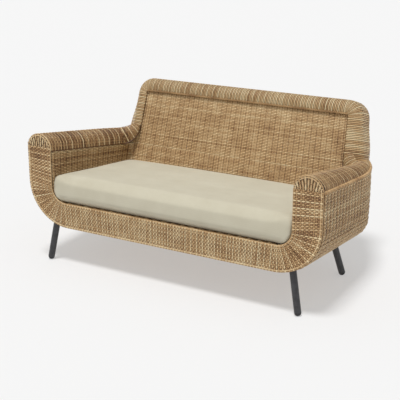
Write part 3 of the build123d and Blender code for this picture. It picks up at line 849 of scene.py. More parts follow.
@dataclass
class BackBorder:
    """The thick border round the back, wrapped over its edge tubes, with a braid along its inner edge."""

    weave: Weave = Weave(row_pitch=0.0073, stake_pitch=0.013, fill=0.76, accent_tone=0.28, base_tone=0.66,
                         rise=0.0003, shade=0.02, stake_tone=0.1, sunk=0.0014)
    braid: Braid = Braid(radius=0.0026, strand=0.0022, turn=0.020, tone=0.62)
    # A dark cord along the panel's edge: painted shade in the step under the border.
    shadow_cord: Braid = Braid(radius=0.0014, strand=0.0024, turn=0.012, tone=0.24)
    foot_swell: float = 0.018
    swell_from: float = 0.620
    tuck: float = -0.002
    round_points: int = 48
    guide: int = 14
    samples: int = 320
    # Each cord's place: how far inside the panel's edge, and how deep in the back.
    braid_place: tuple[float, float] = (0.0020, -0.0080)
    shadow_cord_place: tuple[float, float] = (0.0015, -0.0035)

    def outline(self) -> tuple[np.ndarray, np.ndarray]:
        """The panel's edge as points in its own plane, and the directions out of it.

        Returns:
            The points, across and up the slope from its top, and a direction for each.
        """
        low = (SHELL.border_foot_z - SHELL.panel_top) / math.cos(SHELL.lean)
        r = SHELL.panel_corner
        foot = float(SHELL.panel_half(SHELL.border_foot_z))
        turn = np.linspace(0, QUARTER, 9)
        lean_in = math.atan2(foot - SHELL.panel_half_top, -low)
        leg = np.linspace(low, -r, 40)
        leg_x = SHELL.panel_half_top - leg * math.tan(lean_in)
        right = np.stack([leg_x, leg], -1)
        right_out = np.broadcast_to([math.cos(lean_in), math.sin(lean_in)], right.shape)
        arc = np.stack([SHELL.panel_half_top - r + r * np.cos(turn), -r + r * np.sin(turn)], -1)
        arc_out = np.stack([np.cos(turn), np.sin(turn)], -1)
        top = np.stack([np.linspace(SHELL.panel_half_top - r, 0, 60), np.zeros(60)], -1)
        top_out = np.broadcast_to([0.0, 1.0], top.shape)
        half = np.concatenate([right, arc[1:], top[1:]])
        half_out = np.concatenate([right_out, arc_out[1:], top_out[1:]])
        return both_halves(half), unit(both_halves(half_out))

    def section(self) -> np.ndarray:
        """The wrapped outline of the roll, as distance out from the panel and depth.

        Returns:
            The points, from the panel's edge round the front to the rear.
        """
        turn = np.linspace(0, QUARTER, 10)
        w, proud, deep = SHELL.border_width, SHELL.border_proud, SHELL.back_depth
        rf, rr = SHELL.front_round, SHELL.rear_round
        front = np.stack([w - rf + rf * np.sin(turn), -proud + rf - rf * np.cos(turn)], -1)
        rear = np.stack([w - rr + rr * np.cos(turn), deep - rr + rr * np.sin(turn)], -1)
        return np.concatenate([[[0.0, self.tuck]], [[0.0, -proud]], front, rear, [[0.0, deep]]])

    def patch(self) -> Patch:
        """The whole border as one skin, section by section along the panel's edge.

        Returns:
            The patch.
        """
        edge, out = self.outline()
        ring = self.section()
        padded = np.concatenate([ring, np.zeros((len(ring), 1))], -1)
        ring = even(padded, self.round_points)[:, :2]
        across = edge[:, None, 0] + out[:, None, 0] * ring[None, :, 0]
        rise = edge[:, None, 1] + out[:, None, 1] * ring[None, :, 0]
        grid = SHELL.in_back(across, rise, np.broadcast_to(ring[None, :, 1], across.shape))
        # Towards its feet the roll swells outwards, so that it runs into the shoulders without a step.
        low = np.clip((self.swell_from - grid[..., 2]) / (self.swell_from - SHELL.shoulder_z), 0, 1)
        swell = self.foot_swell * low**2 * (3 - 2 * low) * (ring[:, 0] / SHELL.border_width) ** 2
        grid[..., 0] += np.sign(grid[..., 0]) * swell * np.abs(out[:, None, 0])
        # Sections stand evenly along the roll's outer front, and fan out from the panel's corners.
        run = run_along(grid[:, self.guide])
        return Patch(np.stack([respaced(grid[:, k], run, self.samples) for k in range(self.round_points)], 1))

    def cord_line(self, place: tuple[float, float], legs: bool) -> np.ndarray:
        """The line of a cord along the panel's edge.

        Args:
            place: How far inside the edge it lies, and how deep in the back.
            legs: Whether it also runs down the border's two legs.

        Returns:
            The line's points.
        """
        edge, out = self.outline()
        # Down the legs the edge looks sideways.
        shown = legs | (np.abs(out[:, 1]) > 0.5)
        inset, depth = place
        line = edge[shown] - out[shown] * inset
        return SHELL.in_back(line[:, 0], line[:, 1], depth)

    def build(self, material: bpy.types.Material) -> None:
        """Wraps the roll, and lays its inner braid and, under it, a dark cord that is painted shade in the
        step between the panel and the border.

        Args:
            material: The strands' finish.
        """
        wraps, cords = Strands(), Strands()
        self.weave.lay(wraps, self.patch(), seed=21)
        wraps.build("weave_back_border_wraps", material)
        into = SHELL.in_back(0, 0, 1) - SHELL.in_back(0, 0, 0)
        self.braid.twist(cords, self.cord_line(self.braid_place, False), into, seed=22)
        self.shadow_cord.twist(cords, self.cord_line(self.shadow_cord_place, True), into, seed=23)
        cords.build("weave_back_border_cords", material)


@dataclass
class ArmRoll:
    """The rounded top of one arm, which flares at its rear into the border of the back."""

    SEEDS = {Side.RIGHT: 30, Side.LEFT: 35}

    side: Side
    weave: Weave = Weave(row_pitch=0.0104, stake_pitch=0.013, fill=0.68, accent_tone=0.36, base_tone=0.30,
                         rise=0.0004, shade=0.04, skew=0.045, stake_tone=0.15, sunk=0.0010)
    flare_weave: Weave = Weave(row_pitch=0.0075, stake_pitch=0.013, fill=0.76, accent_tone=0.32,
                               base_tone=0.38, rise=0.0004, stake_tone=0.15, sunk=0.0010)
    # A near-black cord under the roll's inner side: painted shade where the roll overhangs the wall.
    shadow_cord: Braid = Braid(radius=0.0, strand=0.0032, count=1, tone=-0.5)
    shadow_cord_inset: tuple[float, float, float] = (-0.002, -0.002, 0.0)
    shadow_cord_gap: float = 0.001
    shadow_cord_start: float = 0.004
    front_gap: float = 0.006
    samples: int = 60
    round_points: int = 44
    flare_way: tuple[float, float, float] = (-0.6, -0.7, 0.35)
    flare_swell: float = 0.014
    flare_outer: tuple[Vector, ...] = (
        Vector((0.566, 0.2190, 0.505)),
        Vector((0.588, 0.2080, 0.486)),
        Vector((0.622, 0.1400, 0.487)),
    )
    flare_inner: tuple[Vector, ...] = (
        Vector((0.5320, 0.2180, 0.500)),
        Vector((0.5300, 0.1960, 0.425)),
        Vector((0.5770, 0.1400, 0.414)),
    )

    def edge_y(self) -> float:
        """Where the roll runs into the border of the back."""
        return float(SHELL.panel_y(SHELL.shoulder_z))

    def patch(self) -> Patch:
        """The roll's skin, section by section from front to back.

        Returns:
            The patch, on this arm's side.
        """
        y = np.linspace(SHELL.front_y + self.front_gap, self.edge_y(), self.samples)[:, None]
        outer = SHELL.outer_x(y)
        radius = (outer - SHELL.inner_half) / 2
        centre = (outer + SHELL.inner_half) / 2
        crown = SHELL.ridge_z(y) - radius
        turn = np.linspace(math.pi, 0, 40)[None, :]
        along = np.broadcast_to(y, (self.samples, turn.size))
        arc = np.stack([centre + radius * np.cos(turn), along, crown + radius * np.sin(turn)], -1)
        first = np.stack([np.full_like(y, SHELL.inner_half), y, SHELL.spring_z(y)], -1)
        last = np.stack([outer, y, SHELL.spring_z(y)], -1)
        grid = np.concatenate([first, arc, last], 1)
        # On the outer half of its round the roll ends at the braid.
        inner_half = np.arange(grid.shape[1]) < turn.size // 2
        low = SHELL.braid_z(y[:, 0])
        rows = [even(row[inner_half | (row[:, 2] > end)], self.round_points) for row, end in zip(grid, low)]
        return self.sided(Patch(np.stack(rows)))

    def sided(self, patch: Patch) -> Patch:
        """The patch on this arm's side."""
        return patch if self.side is Side.RIGHT else patch.mirrored()

    def curve(self, points: tuple[Vector, ...], share: float) -> Vector:
        """A point of the curve that three points draw."""
        first, bend, last = points
        return first * (1 - share) ** 2 + bend * 2 * share * (1 - share) + last * share**2

    def flare(self) -> Patch:
        """The skin between the border's foot and the roll, swelling towards the seat.

        Returns:
            The patch, on this arm's side.
        """
        rows = []
        for share in np.linspace(0, 1, 24):
            outer, inner = self.curve(self.flare_outer, share), self.curve(self.flare_inner, share)
            swell = Vector(self.flare_way).normalized() * self.flare_swell
            rows.append([inner.lerp(outer, t) + swell * math.sin(math.pi * t) for t in np.linspace(0, 1, 12)])
        return self.sided(Patch(np.array(rows), True))

    def build(self, material: bpy.types.Material) -> None:
        """Wraps the roll and its flare, and lays a near-black cord under its inner side, painted shade where
        the roll overhangs the wall.

        Args:
            material: The strands' finish.
        """
        name, seed = self.side.name.lower(), self.SEEDS[self.side]
        wraps, cords = Strands(), Strands()
        self.weave.lay(wraps, self.patch(), seed)
        self.flare_weave.lay(wraps, self.flare(), seed + 1)
        wraps.build(f"weave_arm_roll_{name}_wraps", material)
        inset = Vector(self.shadow_cord_inset)
        bend = [self.curve(self.flare_inner, share) + inset for share in np.linspace(1, 0, 20)]
        y = np.linspace(SHELL.front_y + self.shadow_cord_start, bend[0].y, 30)[:-1]
        x = np.full_like(y, SHELL.inner_half - self.shadow_cord_gap)
        straight = np.stack([x, y, SHELL.spring_z(y) - self.shadow_cord_gap], -1)
        line = np.concatenate([straight, np.array(bend)]) * np.array([self.side.value, 1.0, 1.0])
        self.shadow_cord.twist(cords, line, np.array(UP), seed + 2)
        cords.build(f"weave_arm_shadow_cord_{name}", material)


@dataclass
class FrontBand:
    """The woven front: strands across a U, fans in both arm ends and a doubled cord round the rim."""

    # Painted shade: faint dark lines where the weavers dip between the stakes.
    weave: Weave = Weave(row_pitch=0.0068, stake_pitch=0.0090, fill=0.80, accent_tone=0.30, base_tone=0.45,
                         dip_shade=0.12, spread=0.12, rise=0.0009)
    # Painted light: the rail across the bottom of the U is lighter than the arms' ends, in brighter patches,
    # where it catches more light.
    painted_light_tone: tuple[float, ...] = (-0.02, 0.0, 0.28, 0.34, 0.28, 0.34, 0.28, 0.0, -0.02)
    fan: Weave = Weave(row_pitch=0.0122, stake_pitch=0.040, fill=0.72, accent_tone=0.0, base_tone=0.74,
                       rise=0.0004, lift=0.0016, stake_tone=0.12)
    fan_z: float = 0.524
    fan_foot: float = 0.97
    fan_gap: float = 0.002
    fan_turn: tuple[float, float] = (0.94, 0.06)
    rim: Braid = Braid(radius=0.0, strand=0.0024, count=1, tone=0.70)
    inner_depth: float = 0.001
    # Each outer cord: how far inside the outline, how far behind the front, and its seed.
    rim_cords: tuple[tuple[float, float, int], ...] = ((0.0070, -0.0004, 44), (0.0006, 0.0030, 45))
    columns: int = 8
    samples: int = 400

    def rail(self, half: float, low: float, corner: float) -> np.ndarray:
        """One outline of the U, as places across and up, from the left arm round to the right.

        Args:
            half: How far out it stands.
            low: Height of its level stretch.
            corner: Radius of its two corners.

        Returns:
            Its points, as many as the other outline has, so that they stand in pairs.
        """
        turn = np.linspace(0, QUARTER, 31)
        upright = np.linspace(self.fan_z, low + corner, 21)
        level = np.linspace(-half + corner, 0, 101)
        bend = np.stack([-half + corner - corner * np.cos(turn), low + corner - corner * np.sin(turn)], -1)
        side = np.stack([np.full_like(upright, -half), upright], -1)
        base = np.stack([level, np.full_like(level, low)], -1)
        return both_halves(np.concatenate([side, bend[1:], base[1:]]))

    def rails(self) -> tuple[np.ndarray, np.ndarray]:
        """The band's inner and outer outlines, point against point."""
        inner = self.rail(SHELL.inner_half, SHELL.deck_front, SHELL.inner_corner)
        return inner, self.rail(SHELL.half_width, SHELL.underside_front, SHELL.outer_corner)

    def placed(self, flat: np.ndarray, depth: float = 0.0) -> np.ndarray:
        """Places across and up as points in space, at a depth behind the band's front."""
        return np.stack([flat[..., 0], np.full(flat.shape[:-1], SHELL.front_y + depth), flat[..., 1]], -1)

    def patch(self) -> Patch:
        """The U between the two fans.

        Returns:
            The patch.
        """
        inner, outer = self.rails()
        share = np.linspace(0, 1, self.columns)[None, :, None]
        grid = self.placed(inner[:, None] * (1 - share) + outer[:, None] * share)
        run = run_along(grid[:, self.columns // 2])
        return Patch(np.stack([respaced(grid[:, k], run, self.samples) for k in range(self.columns)], 1))

    def arch(self) -> Patch:
        """The right arm's end above the U, with rows that fan up to the arch.

        Returns:
            The patch, whose mirror image is the left one.
        """
        radius = (SHELL.half_width - SHELL.inner_half) / 2
        centre_x, centre_z = SHELL.inner_half + radius, SHELL.ridge_front - radius
        first, last = self.fan_turn
        turn = np.linspace(math.pi * first, math.pi * last, 30)[:, None]
        share = np.linspace(0, 1, self.columns)[None, :]
        foot_x = centre_x + radius * self.fan_foot * np.cos(turn)
        tip_x = centre_x + (radius - self.fan_gap) * np.cos(turn)
        tip_z = centre_z + (radius - self.fan_gap) * np.sin(turn)
        x = foot_x * (1 - share) + tip_x * share
        z = self.fan_z * (1 - share) + np.maximum(tip_z, self.fan_z + self.fan_gap) * share
        grid = self.placed(np.stack([x, z], -1))
        return Patch(np.stack([even(grid[:, k], len(turn)) for k in range(self.columns)], 1), True)

    def rim_line(self, shrink: float, depth: float) -> np.ndarray:
        """The outer outline with the arches, from one arm's inner edge to the other's.

        Args:
            shrink: How far the line lies inside the outline.
            depth: How far it lies behind the front.

        Returns:
            The line's points.
        """
        radius = (SHELL.half_width - SHELL.inner_half) / 2
        turn = np.linspace(0, math.pi, 25)
        arch_x = -SHELL.half_width + radius + (radius - shrink) * np.cos(turn)
        arch_z = SHELL.ridge_front - radius + (radius - shrink) * np.sin(turn)
        _, outer = self.rails()
        half = outer[: len(outer) // 2 + 1].copy()
        corner = SHELL.outer_corner
        centre = np.array([corner - SHELL.half_width, corner + SHELL.underside_front])
        way = centre - half
        way[half[:, 1] > centre[1], 1] = 0
        way[half[:, 0] > centre[0], 0] = 0
        half += unit(way) * shrink
        return self.placed(both_halves(np.concatenate([np.stack([arch_x, arch_z], -1), half])), depth)

    def build(self, material: bpy.types.Material) -> None:
        """Weaves the U and the fans, and lays the cords on the rim and on the inner outline.

        Args:
            material: The strands' finish.
        """
        strands, cords = Strands(), Strands()
        self.weave.lay(strands, self.patch(), seed=41, painted_light_tone=self.painted_light_tone)
        arch = self.arch()
        self.fan.lay(strands, arch, seed=42)
        self.fan.lay(strands, arch.mirrored(), seed=43)
        strands.build("weave_front_band_strands", material)
        forward = np.array([0.0, 1.0, 0.0])
        for shrink, depth, seed in self.rim_cords:
            self.rim.twist(cords, self.rim_line(shrink, depth), forward, seed)
        inner, _ = self.rails()
        self.rim.twist(cords, self.placed(inner, self.inner_depth), forward, seed=46)
        cords.build("weave_front_band_cords", material)


class Skin:
    """The outer faces of the body's solids, found by rays from outside."""

    # How far out of the body the rays start, and how much further than their inner point they reach.
    FAR = 1.5
    SPARE = 0.1

    def __init__(self, names: tuple[str, ...]) -> None:
        """Gathers the named solids' faces.

        Args:
            names: The solids' names in the frame.
        """
        places, faces = [], []
        for name in names:
            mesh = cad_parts[name].data
            first = len(places)
            places += [v.co.copy() for v in mesh.vertices]
            faces += [[first + k for k in p.vertices] for p in mesh.polygons]
        self.tree = BVHTree.FromPolygons(places, faces)

    def hit(self, start: Vector, way: Vector) -> Vector | None:
        """The outermost point of the skin from an inner point along a way out, or none at a hole."""
        return self.tree.ray_cast(start + way * self.FAR, -way, self.FAR + self.SPARE)[0]

    def line(self, rays: list[tuple[Vector, Vector]]) -> np.ndarray:
        """The points that a row of rays meets, with the row carried on across holes.

        Args:
            rays: Pairs of an inner point and a way out.

        Returns:
            The points.
        """
        hits = [self.hit(start, way) for start, way in rays]
        found = [k for k, place in enumerate(hits) if place is not None]
        known = np.array([hits[k] for k in found])
        return np.stack([np.interp(range(len(hits)), found, known[:, axis]) for axis in range(3)], -1)


@dataclass
class BodyWalls:
    """The outer walls: both sides and the rear in one sweep, the round shoulders, and the underside."""

    skin: Skin
    # Painted shade: the weavers are much darker where they sink between the ribs, which draws dark gaps.
    wall_weave: Weave = Weave(row_pitch=0.0066, stake_pitch=0.0335, over=Over.RIBS, slant=0.45, rise=0.0022,
                              stake_width=0.006, accent_tone=0.08, base_tone=0.44, spread=0.10, shade=0.30)
    wrap: Weave = Weave(row_pitch=0.0075, stake_pitch=0.013, fill=0.76, accent_tone=0.32, base_tone=0.42,
                        rise=0.0004, stake_tone=0.15, sunk=0.0010)
    under_weave: Weave = Weave(row_pitch=0.012, stake_pitch=0.024, over=Over.PAIRS, stake_width=0.008)
    braid: Braid = Braid(radius=0.0042, strand=0.0036, turn=0.030)
    fan_y: float = 0.113
    spine: float = 0.500
    foot: float = 0.30
    shoulder_round: float = 0.045
    shoulder_from: float = math.radians(34)
    shoulder_to: float = math.radians(84)
    crown_insets: tuple[float, ...] = (0.032, 0.024, 0.016, 0.008)
    crown_spare: float = 0.003
    edge_gap: float = 0.004
    front_gap: float = 0.001
    under_lap: float = 0.040
    rear_spread: float = 0.004
    braid_out: float = 0.0015
    guide: int = 44
    samples: int = 360

    def first_y(self) -> float:
        """Where the walls and the underside begin, behind the front band."""
        return SHELL.front_y + SHELL.band_depth + self.front_gap

    def spot(self, y: float) -> tuple[Vector, Vector]:
        """A place on the right half's inner spine at a depth, and the level way out of the body."""
        return Vector((self.spine, y, float(SHELL.underside_z(y)) + SHELL.outer_corner)), Vector((1, 0, 0))

    def corner_spot(self, angle: float) -> tuple[Vector, Vector]:
        """The place that the rear corner's rays fan out from, and one of their ways."""
        return self.spot(self.fan_y)[0], Vector((math.cos(angle), math.sin(angle), 0))

    def edge(self, start: Vector, way: Vector) -> Vector:
        """The wall's point beside the line where the inner walls of the arms end."""
        return self.skin.hit(Vector((start.x, start.y, SHELL.liner_top() - self.edge_gap)), way)

    def top(self, start: Vector, way: Vector) -> float:
        """Height of the wall's upper edge where a column stands."""
        shoulder = SHELL.braid_z(SHELL.panel_y(SHELL.liner_top()))
        return float(max(SHELL.braid_z(self.edge(start, way).y), shoulder))

    def column(self, start: Vector, way: Vector, count: int = 64) -> np.ndarray:
        """One column of points up the wall, round the lower corner and then straight up.

        Args:
            start: The column's place on the spine, at its turning height.
            way: The level direction out of the body.
            count: How many points.

        Returns:
            The points from the bottom up.
        """
        arc = SHELL.outer_corner * (QUARTER - self.foot)
        total = arc + self.top(start, way) - start.z
        rays = []
        for run in np.linspace(0, total, count):
            angle = min(self.foot + run / SHELL.outer_corner, QUARTER)
            ray = way * math.sin(angle) - UP * math.cos(angle)
            rays.append((start + UP * max(0.0, run - arc), ray))
        return self.skin.line(rays)

    def walls(self) -> Patch:
        """The whole outer wall, from the right arm's front round the rear to the left one's.

        Returns:
            The patch, from its lower edge up.
        """
        spots = [self.spot(y) for y in np.linspace(self.first_y(), self.fan_y, 50)]
        spots += [self.corner_spot(a) for a in np.linspace(0, QUARTER, 36)[1:]]
        rear = self.spot(self.fan_y)[0]
        across = np.linspace(self.spine, 0, 40)[1:]
        spots += [(Vector((x, rear.y, rear.z)), Vector((0, 1, 0))) for x in across]
        grid = both_halves(np.stack([self.column(start, way) for start, way in spots], 1))
        run = run_along(grid[self.guide])
        return Patch(np.stack([respaced(row, run, self.samples) for row in grid]))

    def shoulder_row(self, start: Vector, way: Vector) -> np.ndarray:
        """One row of points from the shoulder's crown out and down to the wall's upper edge.

        Args:
            start: The place inside the rear corner that the rows fan out from.
            way: The level direction out of the body.

        Returns:
            The points.
        """
        turn_z = SHELL.shoulder_z - self.shoulder_round
        wall, low = self.edge(start, way), self.top(start, way)
        centre = Vector((wall.x, wall.y, turn_z)) - way * self.shoulder_round
        end = math.asin(min(1.0, max(0.0, (low - turn_z) / self.shoulder_round)))
        rays = [(centre - way * inset, UP) for inset in self.crown_insets]
        rays += [(centre, way * math.cos(b) + UP * math.sin(b)) for b in np.linspace(QUARTER, end, 16)]
        if low < turn_z:
            rays += [(Vector((centre.x, centre.y, z)), way) for z in np.linspace(turn_z, low, 4)[1:]]
        places = self.skin.line(rays)
        # Rays that rise under the border's leg meet it far above the shoulder, and are left out.
        return even(places[places[:, 2] < SHELL.shoulder_z + self.crown_spare], 20)

    def shoulder(self) -> Patch:
        """The right shoulder beside the back."""
        angles = np.linspace(self.shoulder_from, self.shoulder_to, 40)
        return Patch(np.stack([self.shoulder_row(*self.corner_spot(angle)) for angle in angles]))

    def upper_rear(self) -> Patch:
        """The rear of the back between the legs of its border, down to the walls' upper edge.

        Returns:
            The patch.
        """
        low_z = SHELL.liner_top()
        low = (low_z - SHELL.panel_top + SHELL.back_depth * math.sin(SHELL.lean)) / math.cos(SHELL.lean)
        rise = np.linspace(low, 0.0, 20)[:, None]
        x = (SHELL.panel_half_low + self.rear_spread) * np.linspace(1, -1, 40)[None, :]
        return Patch(SHELL.in_back(x, rise, np.full((1, 1), SHELL.back_depth)))

    def underside(self) -> Patch:
        """The underside between the walls' lower edges.

        Returns:
            The patch.
        """
        reach = self.spine + SHELL.outer_corner * math.sin(self.foot)
        rows = []
        for x in np.linspace(-reach, reach, 34):
            ys = np.linspace(self.first_y(), self.fan_y + self.under_lap, 24)
            rows.append(self.skin.line([(Vector((abs(x), y, SHELL.deck_front)), -UP) for y in ys]))
            rows[-1][:, 0] = x
        return Patch(np.stack(rows))

    def build(self, material: bpy.types.Material) -> None:
        """Weaves every outer wall and lays the braid round its upper edge.

        Args:
            material: The strands' finish.
        """
        walls = self.walls()
        half = walls.grid.shape[0] // 2
        for name, grid, seed in (("lower", walls.grid[: half + 1], 51), ("upper", walls.grid[half:], 52)):
            strands = Strands()
            self.wall_weave.lay(strands, Patch(grid), seed)
            strands.build(f"weave_walls_{name}_strands", material)
        rear, cords, under = Strands(), Strands(), Strands()
        shoulder = self.shoulder()
        self.wrap.lay(rear, shoulder, seed=53)
        self.wrap.lay(rear, shoulder.mirrored(), seed=54)
        self.wall_weave.lay(rear, self.upper_rear(), seed=55)
        rear.build("weave_rear_strands", material)
        edge = walls.grid[-1]
        outward = unit(np.cross(np.gradient(edge, axis=0), np.array(UP)))
        self.braid.twist(cords, edge + outward * self.braid_out, np.array(UP), seed=56)
        cords.build("weave_wall_braid", material)
        self.under_weave.lay(under, self.underside(), seed=57)
        under.build("weave_underside_strands", material)


@dataclass
class SeatWell:
    """The inside of the arms and the lower back panel in one sweep, and the deck under the cushion."""

    panel_weave: Weave = BackPanel().weave
    # Painted shade: dark lines where the weavers dip between the stakes.
    arm_weave: Weave = Weave(row_pitch=0.0070, stake_pitch=0.0195, accent_tone=0.0, base_tone=0.66,
                             dip_shade=0.54, shade=0.04, spread=0.12, rise=0.0006)
    deck_weave: Weave = Weave(row_pitch=0.0110, stake_pitch=0.0220, over=Over.PAIRS, stake_width=0.008)
    corner: float = 0.030
    corner_share: float = 0.3
    lowest_turn: float = 0.1
    first_back: float = 0.15
    guide: int = 20
    samples: int = 320

    def profile(self) -> list[tuple[float, float, float]]:
        """The arm wall's section, as height over the deck, place across, and share of the way up.

        Returns:
            The section's points, from the deck up.
        """
        r = SHELL.inner_corner
        turns = np.linspace(self.lowest_turn, QUARTER, 14)
        corner = [(r - r * math.cos(a), SHELL.inner_half - r + r * math.sin(a), 0.0) for a in turns]
        return corner + [(r * (1 - s), SHELL.inner_half, s) for s in np.linspace(0, 1, 22)[1:]]

    def height(self, y: float, lift: float, blend: float) -> float:
        """Height of one line of the liner at a place from front to back."""
        return float(SHELL.deck_z(y)) * (1 - blend) + float(SHELL.spring_z(y)) * blend + lift

    def row(self, lift: float, x: float, blend: float) -> np.ndarray:
        """One line of the liner, from the right arm's front to the middle of the panel.

        Args:
            lift: Its height over the deck or over the line where the arm's walls end.
            x: Its place across, along the arm.
            blend: Its share of the way up from the one to the other.

        Returns:
            The line's points.
        """
        # The panel leans and the line falls, so the place where they meet is drawn nearer in a few steps.
        back = self.first_back
        for _ in range(6):
            back = float(SHELL.panel_y(self.height(back, lift, blend)))
        r = self.corner
        arm = [(x, y) for y in np.linspace(SHELL.front_y + SHELL.band_depth, back - r, 40)]
        bend = [(x - r + r * math.cos(a), back - r + r * math.sin(a)) for a in np.linspace(0, QUARTER, 9)[1:]]
        panel = [(px, back) for px in np.linspace(x - r, 0, 36)[1:]]
        return np.array([(px, py, self.height(min(py, back), lift, blend)) for px, py in arm + bend + panel])

    def liner(self) -> Patch:
        """The skin from the right arm's front round the back panel to the left one's.

        Returns:
            The patch, from its lower edge up.
        """
        grid = both_halves(np.stack([self.row(*line) for line in self.profile()]))
        run = run_along(grid[self.guide])
        return Patch(np.stack([respaced(row, run, self.samples) for row in grid]), True)

    def deck(self) -> Patch:
        """The flat deck between the arms' lower corners.

        Returns:
            The patch.
        """
        fall = SHELL.deck_fall * math.tan(SHELL.lean)
        meet = float(SHELL.deck_z(SHELL.panel_y(0.0))) / (1 + fall)
        y = np.linspace(SHELL.front_y + SHELL.band_depth, float(SHELL.panel_y(meet)), 12)[:, None]
        half = SHELL.inner_half - SHELL.inner_corner
        x = np.linspace(-half, half, 30)[None, :]
        y, x = np.broadcast_arrays(y, x)
        return Patch(np.stack([x, y, SHELL.deck_z(y)], -1))

    def build(self, material: bpy.types.Material) -> None:
        """Weaves the liner, whose panel matches the one above it, and the deck.

        Args:
            material: The strands' finish.
        """
        liner, deck = Strands(), Strands()
        grid = self.liner().grid
        edge = SHELL.inner_half - self.corner * self.corner_share
        panel = np.flatnonzero(np.abs(grid[self.guide, :, 0]) < edge)
        first, last = int(panel[0]), int(panel[-1])
        self.arm_weave.lay(liner, Patch(grid[:, : first + 1], True), seed=61)
        self.panel_weave.lay(liner, Patch(grid[:, first : last + 1], True), seed=62)
        self.arm_weave.lay(liner, Patch(grid[:, last:], True), seed=64)
        liner.build("weave_liner_strands", material)
        self.deck_weave.lay(deck, self.deck(), seed=63)
        deck.build("weave_seat_deck_strands", material)


